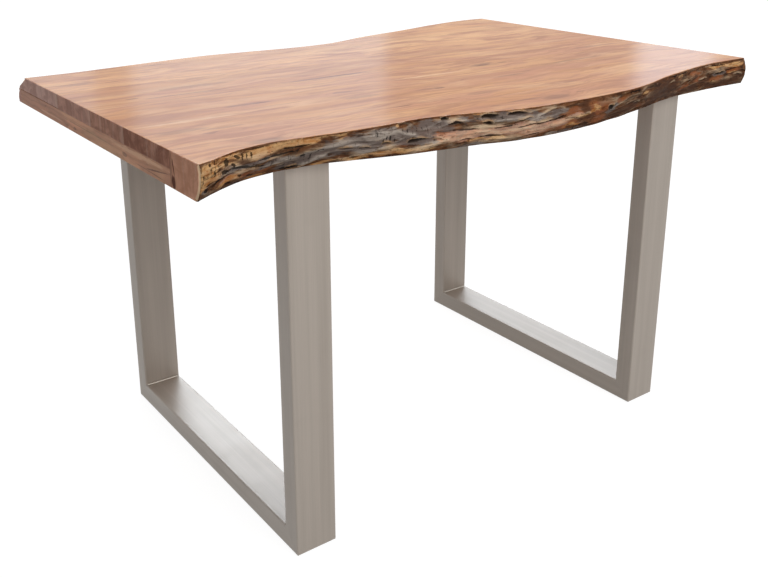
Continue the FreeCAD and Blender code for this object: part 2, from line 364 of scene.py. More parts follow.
class WoodFigure(EffectGroup):
    """Solid figure of a board whose grain runs along X: rings, streaks, flecks, pores and knots."""

    title = "wood_figure"
    inputs = {"Vector": None, "Pith Y": 0.0, "Pith Z": 0.6, "Ring Width": 0.007, "Ring Sway": 2.2,
              "Seed": 0.0}

    @classmethod
    def build(cls, graph: Graph, source: dict[str, Signal]) -> dict[str, Signal]:
        """Builds the figure from the board's position in metres.

        Args:
            graph: Graph of the group.
            source: The group's inputs by name.

        Returns:
            The group's outputs by name.
        """
        place, seed = source["Vector"], source["Seed"]
        here = place + graph.join(seed, seed * 1.7, seed)
        near_knot = cls._knots(graph, here)
        sway = graph.noise(here, (1.7, 3.5, 3.5), 2.0) * 0.060 - 0.030
        wave = graph.noise(here, (7.0, 12.0, 12.0)) * 0.034 - 0.017
        bend = sway + wave + near_knot * 0.014
        bent = here + graph.join(0.0, bend, wave)
        x, y, z = place.parts()
        from_pith_y = y - source["Pith Y"] + bend * source["Ring Sway"]
        radius = (from_pith_y ** 2.0 + (z - source["Pith Z"]) ** 2.0).apply("SQRT")
        radius = radius + graph.noise(bent, (5.0, 30.0, 30.0)) * 0.008
        ring = (radius / source["Ring Width"] * math.tau).apply("SINE") * 0.5 + 0.5
        aside = bent + (1.9, 4.3, 2.8)
        apart = bent + (3.3, 9.1, 5.7)
        return {
            "Ring": ring,
            "Late Wood": ring.step(0.70, 0.97),
            "Tone": graph.noise(bent, (1.4, 8.0, 8.0), 3.0, 0.5, 0.5).step(0.34, 0.66),
            "Mottle": graph.noise(aside, (5.6, 19.0, 19.0), 3.0, 0.5, 0.9).step(0.36, 0.64),
            "Streak": graph.noise(bent, (5.6, 30.0, 30.0), 4.0, 0.54, 0.7).step(0.46, 0.70),
            "Pale Streak": graph.noise(apart, (5.2, 24.0, 24.0), 3.0, 0.54, 0.7).step(0.48, 0.72),
            "Fleck": graph.noise(bent, (13.0, 66.0, 66.0), 3.0, 0.52, 0.5).step(0.64, 0.76),
            "Hairline": graph.noise(bent, (3.6, 170.0, 170.0), 3.0, 0.5).step(0.62, 0.74),
            "Fibre": graph.noise(bent, (22.0, 520.0, 520.0), 3.0, 0.6),
            "Pore": graph.noise(bent, (42.0, 760.0, 760.0), 2.0, 0.5).step(0.62, 0.72),
            "Knot": near_knot.step(0.62, 0.90),
            "Halo": near_knot,
        }

    @staticmethod
    def _knots(graph: Graph, here: Signal) -> Signal:
        """Scattered knots, long along the grain: 1 in the middle of one, falling to 0 around it."""
        cells = graph.fill(graph.add("TexVoronoi"), Vector=here * (2.7, 6.4, 6.4), Scale=1.0, Randomness=1.0)
        return graph.outputs(cells)["Distance"].step(0.26, 0.0)


class GrainStroke(EffectGroup):
    """One long mark along the grain, with frayed ends."""

    title = "grain_stroke"
    inputs = {"Along": 0.0, "Across": 0.0, "Length": 0.06, "Width": 0.006, "Lean": 0.0}

    @classmethod
    def build(cls, graph: Graph, source: dict[str, Signal]) -> dict[str, Signal]:
        """Builds the mark from the distances in metres from its middle.

        Args:
            graph: Graph of the group.
            source: The group's inputs by name.

        Returns:
            The group's outputs by name.
        """
        along, length = source["Along"], source["Length"]
        across = source["Across"] - source["Lean"] * along
        ends = along / length * 2.0
        sides = across / source["Width"] * 2.0
        fray = graph.noise(graph.join(along, across, length), (36.0, 210.0, 60.0), 3.0, 0.6)
        return {"Mask": (ends * ends + sides * sides + (fray * 2.4 - 1.2)).step(1.0, 0.15)}


class Handling(EffectGroup):
    """Marks of handling and cleaning: cloudy smears and fine scratches."""

    title = "handling_marks"
    inputs = {"Vector": None, "Smear Size": 0.12}

    @classmethod
    def build(cls, graph: Graph, source: dict[str, Signal]) -> dict[str, Signal]:
        """Builds the marks from a position in metres.

        Args:
            graph: Graph of the group.
            source: The group's inputs by name.

        Returns:
            The group's outputs by name.
        """
        place, size = source["Vector"], source["Smear Size"]
        lengthwise = graph.noise(place, (18.0, 420.0, 420.0), 2.0, 0.5).step(0.70, 0.78)
        crosswise = graph.noise(place, (420.0, 22.0, 300.0), 2.0, 0.5).step(0.72, 0.80)
        return {
            "Smear": graph.noise(place / graph.join(size, size, size), (1.0, 1.0, 1.0), 4.0, 0.6, 0.5),
            "Scratch": lengthwise.most(crosswise),
        }


class WeatheredSkin(EffectGroup):
    """Grain, grit, dashes and specks of the wood just under the bark."""

    title = "weathered_skin"
    inputs = {"Vector": None}

    @classmethod
    def build(cls, graph: Graph, source: dict[str, Signal]) -> dict[str, Signal]:
        """Builds the marks from a position in metres.

        Args:
            graph: Graph of the group.
            source: The group's inputs by name.

        Returns:
            The group's outputs by name.
        """
        place = source["Vector"]
        dashes = graph.noise(place, (210.0, 150.0, 54.0), 3.0, 0.6, 0.5).step(0.56, 0.65)
        return {
            "Grain": graph.noise(place, (30.0, 70.0, 210.0), 5.0, 0.66, 0.9),
            "Cloud": graph.noise(place, (36.0, 36.0, 84.0), 6.0, 0.70, 1.0),
            "Grit": graph.noise(place, (240.0, 240.0, 380.0), 3.0, 0.65),
            "Dash": dashes * graph.noise(place, (16.0, 16.0, 40.0), 2.0).step(0.44, 0.58),
            "Speck": graph.noise(place, (190.0, 190.0, 260.0), 4.0, 0.7).step(0.60, 0.68),
        }


# ---------------------------------------------------------------- finishes


@dataclass(frozen=True)
class Finish:
    """A named finish. Each kind works out its own look."""

    name: str

    def material(self) -> bpy.types.Material:
        """Builds the finish on first use.

        Returns:
            The finish's material.
        """
        found = bpy.data.materials.get(self.name)
        if found is not None:
            return found
        made = bpy.data.materials.new(self.name)
        made.use_nodes = True
        graph = Graph(made.node_tree)
        shader = graph.add("BsdfPrincipled")
        graph.fill(shader, **self.look(graph, graph.position()))
        graph.add("OutputMaterial", shader.outputs[0])
        return made

    def look(self, graph: Graph, place: Signal) -> Look:
        """Works out the look.

        Args:
            graph: Graph of the material.
            place: Position in metres.

        Returns:
            Inputs of the shader by name, with underscores for spaces.
        """
        raise NotImplementedError


@dataclass(frozen=True)
class Stroke:
    """Mark in a board's figure, in metres along the grain and across it."""

    along: float
    across: float
    length: float
    width: float
    tint: Colour
    strength: float
    lean: float = 0.0

    def over(self, graph: Graph, colour: Signal, along: Signal, across: Signal) -> Signal:
        """Lays the mark over a colour.

        Args:
            graph: Graph of the material.
            colour: Colour without the mark.
            along: Position along the grain.
            across: Position across the grain.

        Returns:
            The colour with the mark.
        """
        mask = GrainStroke.on(graph, Along=along - self.along, Across=across - self.across,
                              Length=self.length, Width=self.width, Lean=self.lean)["Mask"]
        return graph.blend(mask * self.strength, colour, self.tint)


@dataclass(frozen=True)
class BoardFinish(Finish):
    """Oiled and lacquered board, with its figure all through the wood."""

    grain: Axis = Axis.X
    pale: Colour = shade(226, 170, 118)
    tan: Colour = shade(206, 144, 96)
    rosy: Colour = shade(202, 140, 108)
    ring_tint: Colour = shade(176, 114, 76)
    streak_tint: Colour = shade(178, 118, 86)
    pale_tint: Colour = shade(234, 184, 138)
    dark_tint: Colour = shade(134, 88, 68)
    knot_tint: Colour = shade(92, 62, 52)
    end_tint: Colour = shade(224, 166, 142)
    end_dark: Colour = shade(184, 130, 108)
    sapwood: Colour = shade(236, 200, 180)
    pith_y: float = 0.0
    pith_z: float = 0.55
    ring_width: float = 0.0085
    ring_sway: float = 2.2
    ring_strength: float = 0.12
    seed: float = 0.0
    seams: tuple[float, ...] = ()
    pale_seams: tuple[float, ...] = ()
    pale_strength: float = 0.34
    seam_strength: float = 0.30
    soak: float = 0.0
    glue_level: Optional[float] = None
    strokes: tuple[Stroke, ...] = ()
    end_strokes: tuple[Stroke, ...] = ()

    def look(self, graph: Graph, place: Signal) -> Look:
        """Works out the look of plain board.

        Args:
            graph: Graph of the material.
            place: Position in metres.

        Returns:
            Inputs of the shader by name, with underscores for spaces.
        """
        colour, height, rough = self.wood(graph, place)
        return dict(Base_Color=colour, Roughness=rough, Normal=graph.bump(height, 0.12 * MM, 0.6),
                    **self.lacquer(self._end_grain(graph).most(self.soak)))

    @staticmethod
    def lacquer(thirsty: Signal) -> Look:
        """Inputs of the shader for a thin satin lacquer, that thirsty wood soaks up."""
        return dict(Specular_IOR_Level=0.0, Coat_Roughness=0.14, Coat_Weight=thirsty * -0.30 + 0.36)

    def wood(self, graph: Graph, place: Signal) -> tuple[Signal, Signal, Signal]:
        """Colour, height and roughness of sawn and sanded wood.

        Args:
            graph: Graph of the material.
            place: Position in metres.

        Returns:
            The colour, the height and the roughness.
        """
        x, y, z = place.parts()
        lengthwise = self.grain is Axis.X
        figure = WoodFigure.on(graph, Vector=place if lengthwise else graph.join(y, x, z), Pith_Y=self.pith_y,
                               Pith_Z=self.pith_z, Ring_Width=self.ring_width, Ring_Sway=self.ring_sway,
                               Seed=self.seed)
        colour = graph.layered(graph.blend(figure["Tone"], self.pale, self.tan), (
            (figure["Mottle"] * 0.70, self.rosy),
            (figure["Ring"] * self.ring_strength, self.ring_tint),
            (figure["Late Wood"] * self.ring_strength, self.dark_tint),
            (figure["Streak"] * 0.78, self.streak_tint),
            (figure["Pale Streak"] * 0.48, self.pale_tint),
            (figure["Fleck"] * 0.46, self.dark_tint),
            (figure["Hairline"] * 0.20, self.dark_tint),
            (figure["Halo"] * 0.14, self.dark_tint),
            (figure["Knot"] * 0.34, self.knot_tint),
            (figure["Pore"] * 0.24, self.dark_tint),
        ))
        for stroke in self.strokes:
            colour = stroke.over(graph, colour, *((x, y) if lengthwise else (y, z)))
        ends = self._end_grain(graph)
        end_colour = self._end_colour(graph, figure["Ring"], place)
        for stroke in self.end_strokes:
            end_colour = stroke.over(graph, end_colour, z, y)
        colour = graph.blend(ends, colour, end_colour)
        if self.glue_level is not None:
            glue = abs(z - self.glue_level).step(0.9 * MM, 0.2 * MM)
            colour = graph.blend(glue * 0.25, colour, self.knot_tint)
        for seam in self.seams:
            glue = abs(y - seam).step(1.0 * MM, 0.2 * MM)
            colour = graph.blend(glue * self.seam_strength, colour, self.knot_tint)
        marks = Handling.on(graph, Vector=place, Smear_Size=0.16)
        rough = marks["Smear"] * 0.16 + 0.32 + figure["Pore"] * 0.12 + ends * 0.15
        height = figure["Fibre"] * 0.5 + figure["Ring"] * 0.2 - figure["Pore"] * 0.5 - marks["Scratch"] * 0.3
        return colour, height, rough

    def _end_colour(self, graph: Graph, ring: Signal, place: Signal) -> Signal:
        """Colour of the sawn ends, with the pale sapwood beside each seam.

        Args:
            graph: Graph of the material.
            ring: The figure's rings.
            place: Position in metres.

        Returns:
            The colour.
        """
        across = place.parts()[1]
        cloud = graph.noise(place, (1.0, 26.0, 34.0), 4.0, 0.6, 0.8)
        scrape = graph.noise(place, (1.0, 130.0, 14.0), 4.0, 0.62)
        colour = graph.layered(graph.blend(cloud.step(0.36, 0.64), self.end_tint, self.end_dark), (
            (ring * 0.14, self.end_dark),
            (scrape.step(0.52, 0.64) * 0.75, self.end_dark),
            (scrape.step(0.48, 0.34) * 0.22, self.sapwood),
        ))
        for seam in self.pale_seams:
            past = across - seam + (cloud * 12 * MM - 6 * MM)
            strip = past.step(0.0, 2.5 * MM) * past.step(15 * MM, 8 * MM)
            colour = graph.blend(strip * self.pale_strength, colour, self.sapwood)
        for seam in self.seams:
            glue = abs(across - seam).step(3.0 * MM, 0.8 * MM)
            colour = graph.blend(glue * 0.5, colour, self.end_dark)
        return colour

    def _end_grain(self, graph: Graph) -> Signal:
        """Mask of the faces that cut across the grain."""
        normal = graph.outputs(graph.add("NewGeometry"))["True Normal"]
        return abs(normal.parts()[self.grain.value]).step(0.55, 0.80)


@dataclass(frozen=True)
class LiveEdgeFinish(BoardFinish):
    """Board with a peeled and weathered live edge, whose stains, painted highlights and painted shade follow
    the mesh's own attributes.
    """

    bare: Colour = shade(118, 76, 48)
    bark_brown: Colour = shade(50, 32, 22)
    umber: Colour = shade(84, 54, 38)
    rim_brown: Colour = shade(92, 54, 34)
    gold: Colour = shade(214, 168, 116)
    amber: Colour = shade(184, 120, 66)
    rust: Colour = shade(164, 96, 54)
    russet: Colour = shade(142, 88, 62)
    blush: Colour = shade(224, 166, 134)
    plum: Colour = shade(172, 134, 116)
    charcoal: Colour = shade(114, 100, 93)
    silver_sheen: Colour = shade(206, 192, 178)
    soot: Colour = shade(20, 15, 12)
    hollow_shade: Colour = shade(34, 25, 19)
    cream: Colour = shade(240, 210, 174)
    strip_cream: Colour = shade(255, 218, 178)

    def look(self, graph: Graph, place: Signal) -> Look:
        """Works out the look of board, and of weathered wood on the live edge.

        Args:
            graph: Graph of the material.
            place: Position in metres.

        Returns:
            Inputs of the shader by name, with underscores for spaces.
        """
        colour, height, rough = self.wood(graph, place)
        skin = graph.trait("skin")
        bark = WeatheredSkin.on(graph, Vector=place)
        cloud, grain, grit = bark["Cloud"], bark["Grain"], bark["Grit"]
        charcoal, gold, rust, blush, umber, soot = (
            self._stain(graph, name, cloud, fine, soft)
            for name, fine, soft in (("charcoal", grain, 0.22), ("gold", grain, 0.18), ("rust", grain, 0.34),
                                     ("blush", grain, 0.30), ("bark", grain, 0.32), ("soot", grit, 0.12)))
        dull = umber.most(rust * 0.75)
        strip = graph.trait("strip").step(0.50, 0.95)
        edge = graph.layered(graph.blend(cloud.step(0.38, 0.64), self.bare, self.bark_brown), (
            (rust * 0.85, graph.blend(grain.step(0.38, 0.62), self.rust, self.russet)),
            (blush * 0.95, graph.blend(grain.step(0.40, 0.60), self.blush, self.plum)),
            (gold * 0.95, graph.blend(cloud.step(0.42, 0.62), self.gold, self.amber)),
            (umber * 0.85, self.umber),
            (charcoal * 0.90, self.charcoal),
            # Grain lines, also paler on the grain's crests as painted light and darker in its low places as
            # painted shade, where the bump lifts and sinks the skin.
            (grain.step(0.55, 0.72) * (dull * -0.34 + 0.40), self.cream),
            (grain.step(0.46, 0.32) * 0.70, self.bark_brown),
            # Painted highlight: silver sheen on the charcoal and cream elsewhere, laid along the ridges of
            # the relief.
            (graph.trait("ridge_highlight") * grain.step(0.30, 0.55) * (dull * -0.54 + 0.62),
             graph.blend(charcoal, self.cream, self.silver_sheen)),
            ((bark["Dash"] * gold.most(charcoal)).most(soot) * 0.85, self.soot),
            (bark["Speck"] * 0.70, self.bark_brown),
            # Lips above the gouges painted pale: partly their own gold wood, partly a painted highlight where
            # they catch the light.
            (graph.trait("lip") * grit.step(0.34, 0.52) * 0.60, graph.blend(charcoal, self.cream, self.gold)),
            (graph.trait("rim") * grit.step(0.70, 0.48) * 0.75, self.rim_brown),
            # Painted shade: near black laid into the gouges, darker where they are deeper.
            (graph.trait("hollow").step(0.10, 0.60) * 0.92, self.hollow_shade),
            (strip, self.strip_cream),
        ))
        skin_rough = cloud * 0.30 + 0.26
        skin_height = (grain * 3.0 - 1.5) + (grit * 1.8 - 0.9) - bark["Dash"] * 0.8
        relief = height + (skin_height - height) * skin
        return dict(Base_Color=graph.blend(skin.most(strip * skin.step(0.05, 0.35)), colour, edge),
                    Roughness=rough + (skin_rough - rough) * skin, Normal=graph.bump(relief, 0.45 * MM, 0.9),
                    **self.lacquer(skin.most(self._end_grain(graph))))

    @staticmethod
    def _stain(graph: Graph, name: str, broad: Signal, fine: Signal, soft: float) -> Signal:
        """Mask of a stain with a ragged border.

        Args:
            graph: Graph of the material.
            name: The stain's attribute.
            broad: Noise that bends the border.
            fine: Noise that frays the border.
            soft: Half the height over which the border fades.

        Returns:
            The mask.
        """
        fray = (broad * 1.4 - 0.70) + (fine * 1.1 - 0.55)
        return (graph.trait(name) + fray).step(0.44 - soft, 0.44 + soft)


@dataclass(frozen=True)
class SteelFinish(Finish):
    """Brushed steel tube under clear lacquer, brushed along its length."""

    brushing: Axis = Axis.Z
    tint: Colour = shade(180, 169, 158)
    deep_tint: Colour = shade(171, 160, 149)
    line_tint: Colour = shade(142, 133, 124)
    metal: float = 0.20
    gloss: float = 0.31

    def look(self, graph: Graph, place: Signal) -> Look:
        """Works out the look of brushed steel.

        Args:
            graph: Graph of the material.
            place: Position in metres.

        Returns:
            Inputs of the shader by name, with underscores for spaces.
        """
        lines = graph.noise(place, self._along(5.0, 900.0), 3.0, 0.6)
        bands = graph.noise(place, self._along(1.2, 46.0), 3.0, 0.55)
        marks = Handling.on(graph, Vector=place, Smear_Size=0.10)
        colour = graph.layered(graph.blend(bands.step(0.34, 0.68), self.tint, self.deep_tint), (
            (lines.step(0.35, 0.65) * 0.14, self.line_tint),
            (marks["Smear"].step(0.55, 0.75) * 0.10, self.line_tint),
        ))
        return dict(Base_Color=colour, Metallic=self.metal,
                    Roughness=marks["Smear"] * 0.14 + self.gloss + lines * 0.08,
                    Normal=graph.bump(lines - marks["Scratch"] * 0.4, 0.02 * MM, 0.5))

    def _along(self, along: float, across: float) -> tuple[float, ...]:
        """Features to the metre along X, Y and Z, few along the brushing and many across it."""
        return tuple(along if axis is self.brushing else across for axis in Axis)


@dataclass(frozen=True)
class WeldFinish(Finish):
    """Weld bead, with a painted highlight on the crowns of its ripples and straw heat tint with painted shade
    in the troughs.
    """

    crown_highlight: Colour = shade(202, 196, 186)
    trough: Colour = shade(120, 104, 86)

    def look(self, graph: Graph, place: Signal) -> Look:
        """Works out the look of weld metal.

        Args:
            graph: Graph of the material.
            place: Position in metres.

        Returns:
            Inputs of the shader by name, with underscores for spaces.
        """
        grit = graph.noise(place, (600.0, 600.0, 600.0), 3.0, 0.6)
        # Painted highlight on the ripple crowns and painted shade in the troughs, by the ripple height.
        ripple_light = graph.trait("ripple") + grit * 0.5
        return dict(Base_Color=graph.blend(ripple_light.step(0.3, 1.1), self.trough, self.crown_highlight),
                    Roughness=grit * 0.4 + 0.2, Metallic=0.9, Normal=graph.bump(grit, 0.10 * MM, 0.7))


@dataclass(frozen=True)
class ZincFinish(Finish):
    """Zinc plate with its faint spangle, on screws, washers and inserts."""

    tint: Colour = shade(190, 192, 190)
    spangle_tint: Colour = shade(158, 158, 150)

    def look(self, graph: Graph, place: Signal) -> Look:
        """Works out the look of zinc plate.

        Args:
            graph: Graph of the material.
            place: Position in metres.

        Returns:
            Inputs of the shader by name, with underscores for spaces.
        """
        spangle = graph.noise(place, (300.0, 300.0, 300.0), 3.0, 0.6, 0.6)
        marks = Handling.on(graph, Vector=place, Smear_Size=0.02)
        return dict(Base_Color=graph.blend(spangle.step(0.35, 0.65), self.tint, self.spangle_tint),
                    Roughness=marks["Smear"] * 0.3 + 0.18, Metallic=1.0,
                    Normal=graph.bump(spangle, 0.03 * MM, 0.5))


@dataclass(frozen=True)
class PlasticFinish(Finish):
    """Moulded black plastic, scuffed underneath."""

    tint: Colour = shade(40, 40, 41)
    scuff_tint: Colour = shade(86, 84, 82)

    def look(self, graph: Graph, place: Signal) -> Look:
        """Works out the look of moulded plastic.

        Args:
            graph: Graph of the material.
            place: Position in metres.

        Returns:
            Inputs of the shader by name, with underscores for spaces.
        """
        mould = graph.noise(place, (1500.0, 1500.0, 1500.0), 2.0, 0.5)
        scuff = Handling.on(graph, Vector=place, Smear_Size=0.012)["Smear"].step(0.45, 0.7) * 0.5
        return dict(Base_Color=graph.blend(scuff, self.tint, self.scuff_tint), Roughness=scuff * 0.4 + 0.5,
                    Normal=graph.bump(mould, 0.04 * MM, 0.6))


# ---------------------------------------------------------------- mesh helpers


def loft(bm: bmesh.types.BMesh, columns: int, rows: int,
         place: Callable[[int, int], Vector]) -> list[list[bmesh.types.BMVert]]:
    """Makes a sheet of vertices and puts each one where a rule says.

    Args:
        bm: Mesh to add to.
        columns: Number of vertices along the sheet.
        rows: Number of vertices across it.
        place: Rule that gives a vertex's place from its column and row.

    Returns:
        The vertices by column and row.
    """
    made = bmesh.ops.create_grid(bm, x_segments=columns - 1, y_segments=rows - 1, size=0.5)["verts"]
    grid: list[list[bmesh.types.BMVert]] = [[None] * rows for _ in range(columns)]
    for vert in made:
        grid[round((vert.co.x + 0.5) * (columns - 1))][round((vert.co.y + 0.5) * (rows - 1))] = vert
    for i, column in enumerate(grid):
        for j, vert in enumerate(column):
            vert.co = place(i, j)
    return grid


def edges_between(verts: Sequence[bmesh.types.BMVert]) -> list[bmesh.types.BMEdge]:
    """Edges that join each vertex of a row to the next one."""
    return [edge for first, second in zip(verts, verts[1:])
            for edge in first.link_edges if edge.other_vert(first) is second]


def add_object(name: str, data: bpy.types.ID) -> bpy.types.Object:
    """Puts an object into the scene.

    Args:
        name: The object's name.
        data: Its mesh, lamp or camera.

    Returns:
        The object.
    """
    holder = bpy.data.objects.new(name, data)
    bpy.context.scene.collection.objects.link(holder)
    return holder


def finish_piece(bm: bmesh.types.BMesh, name: str, finish: Finish, slot: str, *nodes: str) -> None:
    """Turns a mesh under construction into a piece that stands for CAD nodes.

    Args:
        bm: The finished mesh, which is freed.
        name: Name of the piece.
        finish: Its finish.
        slot: Not used.
        *nodes: CAD nodes that the piece stands for.
    """
    bmesh.ops.recalc_face_normals(bm, faces=bm.faces)
    mesh = bpy.data.meshes.new(name)
    bm.to_mesh(mesh)
    bm.free()
    mesh.materials.append(finish.material())
    piece = add_object(name, mesh)
    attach(piece, "root")
    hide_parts(*nodes)
    log.info("%s: %d faces, finish %s", name, len(mesh.polygons), finish.name)


def dress_node(node: str, finish: Finish) -> None:
    """Gives a CAD node its finish.

    Args:
        node: Name of the node.
        finish: The finish.
    """
    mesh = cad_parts[node].data
    mesh.materials.clear()
    mesh.materials.append(finish.material())
    log.info("%s: kept solid, finish %s", node, finish.name)


# ---------------------------------------------------------------- the live edges


# Millimetres, like all the marks and the relief of the live edges.
RIM_DEPTH = 55.0
HALF_LENGTH = 650


@dataclass(frozen=True)
class Swell:
    """Smooth noise over a live edge, with the length and the height of its lumps and its own layer."""

    length: float
    height: float
    layer: float
    strength: float = 1.0

    def at(self, x: float, drop: float, seed: float = 0.0, slide: float = 0.0) -> float:
        """Noise at a place.

        Args:
            x: Place along the table.
            drop: Distance below the upper face.
            seed: Seed of the live edge.
            slide: How many lumps the noise is moved along the table.

        Returns:
            The noise, within the strength up and down.
        """
        spot = Vector((x / self.length + slide, drop / self.height, self.layer + seed))
        return noise.noise(spot) * self.strength


@dataclass(frozen=True)
class Warp:
    """Bending of places along the table and down the edge, so that no outline is smooth."""

    along: Swell
    down: Swell

    def at(self, x: float, drop: float) -> tuple[float, float]:
        """Bent place."""
        return x + self.along.at(x, drop), drop + self.down.at(x, drop)


FLOW = Swell(95, 34, 0, 9)
CREST = Swell(58, 8.5, 3.7, 2.6)
TORN = Swell(130, 60, 9.1)
GRIT = Swell(4.6, 2.6, 0, 0.40)
LUMPS = Swell(15, 7.5, 4.4, 0.9)
BROAD = Swell(44, 24, 5.5, 2.4)
RELIEF_WARP = Warp(Swell(13, 8, 1.3, 5), Swell(16, 8, 7.9, 2.0))
STAIN_WARP = Warp(Swell(40, 16, 2.1, 16), Swell(30, 12, 6.3, 6))


def grown(share: float, distance: float, reach: float) -> float:
    """Factor that grows from a share at a border to 1 at a reach from it."""
    return share + (1 - share) * ease(distance, 0.0, reach)


@dataclass(frozen=True)
class Mark:
    """Long mark on a live edge, in millimetres along the table and below its upper face.

    Its middle line leans as it runs to the right, and bows down towards both ends.
    """

    x: float
    drop: float
    length: float
    height: float
    strength: float = 1.0
    lean: float = 0.0
    bow: float = 0.0

    def local(self, x: float, drop: float) -> tuple[float, float]:
        """Place in the mark's own terms.

        Args:
            x: Place along the table, in millimetres.
            drop: Distance below the upper face, in millimetres.

        Returns:
            Share of the way from the middle to an end, and millimetres below the middle line.
        """
        across = (x - self.x) / (self.length / 2)
        return across, drop - self.drop - self.lean * (x - self.x) - self.bow * across * across


class Blot(Mark):
    """Soft oval stain or swelling."""

    def at(self, x: float, drop: float) -> float:
        """Strength of the blot at a place.

        Args:
            x: Place along the table, in millimetres.
            drop: Distance below the upper face, in millimetres.

        Returns:
            The strength, 0 outside the blot.
        """
        across, below = self.local(x, drop)
        reach = across * across + (below / (self.height / 2)) ** 2
        return self.strength * (1 - reach) ** 2 if reach < 1 else 0.0


class Ridge(Mark):
    """Smooth raised line of hard wood. Its strength is its height in millimetres."""

    def at(self, x: float, drop: float) -> float:
        """Height of the ridge at a place.

        Args:
            x: Place along the table, in millimetres.
            drop: Distance below the upper face, in millimetres.

        Returns:
            The height in millimetres.
        """
        across, below = self.local(x, drop)
        if abs(across) >= 1:
            return 0.0
        return self.strength * (1 - across * across) * math.exp(-((below / self.height) ** 2))


class Gouge(Mark):
    """Hollow under an overhanging lip. Its strength is its depth in millimetres."""

    LIP = 1.7
    WALL = 0.12

    def at(self, x: float, drop: float) -> tuple[float, float]:
        """Depth and lip of the gouge at a place.

        Args:
            x: Place along the table, in millimetres.
            drop: Distance below the upper face, in millimetres.

        Returns:
            Depth in millimetres, and strength of the lip from 0 to 1.
        """
        across, below = self.local(x, drop)
        body = 1 - across * across
        if body <= 0:
            return 0.0, 0.0
        lip = math.sqrt(body) * math.exp(-(((below + self.LIP) / self.LIP) ** 2))
        share = below / (self.height * body ** 0.6)
        if not 0 < share < 1:
            return 0.0, lip
        return self.strength * math.sqrt(body) * min(1.0, share / self.WALL) * (1 - share) ** 1.1, lip


def strongest(marks: Sequence[Union[Blot, Ridge]], x: float, drop: float) -> float:
    """The largest strength of several marks at a place."""
    return max((mark.at(x, drop) for mark in marks), default=0.0)


@dataclass(frozen=True)
class EdgeStory:
    """What weather, bark and insects did to one live edge."""

    gouges: tuple[Gouge, ...]
    ridges: tuple[Ridge, ...]
    charcoal: tuple[Blot, ...]
    gold: tuple[Blot, ...]
    rust: tuple[Blot, ...]
    bark: tuple[Blot, ...]
    blush: tuple[Blot, ...]
    soot: tuple[Blot, ...]
    seed: float = 0.0
    crest_height: float = 2.4
    lip_height: float = 1.6
    full_ridge: float = 2.2
    full_hollow: float = 6.0

    def relief(self, x: float, drop: float) -> tuple[float, dict[str, float]]:
        """Height of the weathered surface over the smooth one.

        Args:
            x: Place along the table, in millimetres.
            drop: Distance below the upper face, in millimetres.

        Returns:
            Height in millimetres, and the strengths of the ridge highlight, lip and hollow by name.
        """
        seed = self.seed
        flow = FLOW.at(x, drop, seed, slide=seed)
        crest = 1 - abs(CREST.at(x, drop + flow, slide=seed))
        torn = ease(TORN.at(x, drop, seed), -0.35, 0.25)
        calm = grown(0.30, drop, 6.0) * grown(0.40, RIM_DEPTH - drop, 9.0)
        bent = RELIEF_WARP.at(x, drop)
        depth, lip = 0.0, 0.0
        for gouge in self.gouges:
            if abs(bent[0] - gouge.x) < gouge.length:
                found = gouge.at(*bent)
                depth, lip = max(depth, found[0]), max(lip, found[1])
        raised = strongest(self.ridges, *bent)
        height = (crest - 0.5) * self.crest_height * (0.30 + 0.70 * torn)
        for swell in (GRIT, LUMPS, BROAD):
            height += swell.at(x, drop, seed)
        height = calm * height + raised + lip * self.lip_height - depth
        # Strength of the ridges, which the finish paints as a highlight.
        ridge_highlight = min(1.0, max(0.0, crest - 0.45) * 0.9 * torn + raised / self.full_ridge)
        return height, {"ridge_highlight": ridge_highlight, "lip": lip, "hollow": min(1.0, depth / self.full_hollow)}

    def stains(self, x: float, drop: float) -> dict[str, float]:
        """Strengths of the stains at a place.

        Args:
            x: Place along the table, in millimetres.
            drop: Distance below the upper face, in millimetres.

        Returns:
            Strengths of charcoal, gold, rust, bark, blush and soot, by name.
        """
        bent = STAIN_WARP.at(x, drop)
        found = {name: strongest(getattr(self, name), *bent) ** 0.5
                 for name in ("charcoal", "gold", "rust", "bark", "blush")}
        return {**found, "soot": strongest(self.soot, x, drop) ** 0.5}


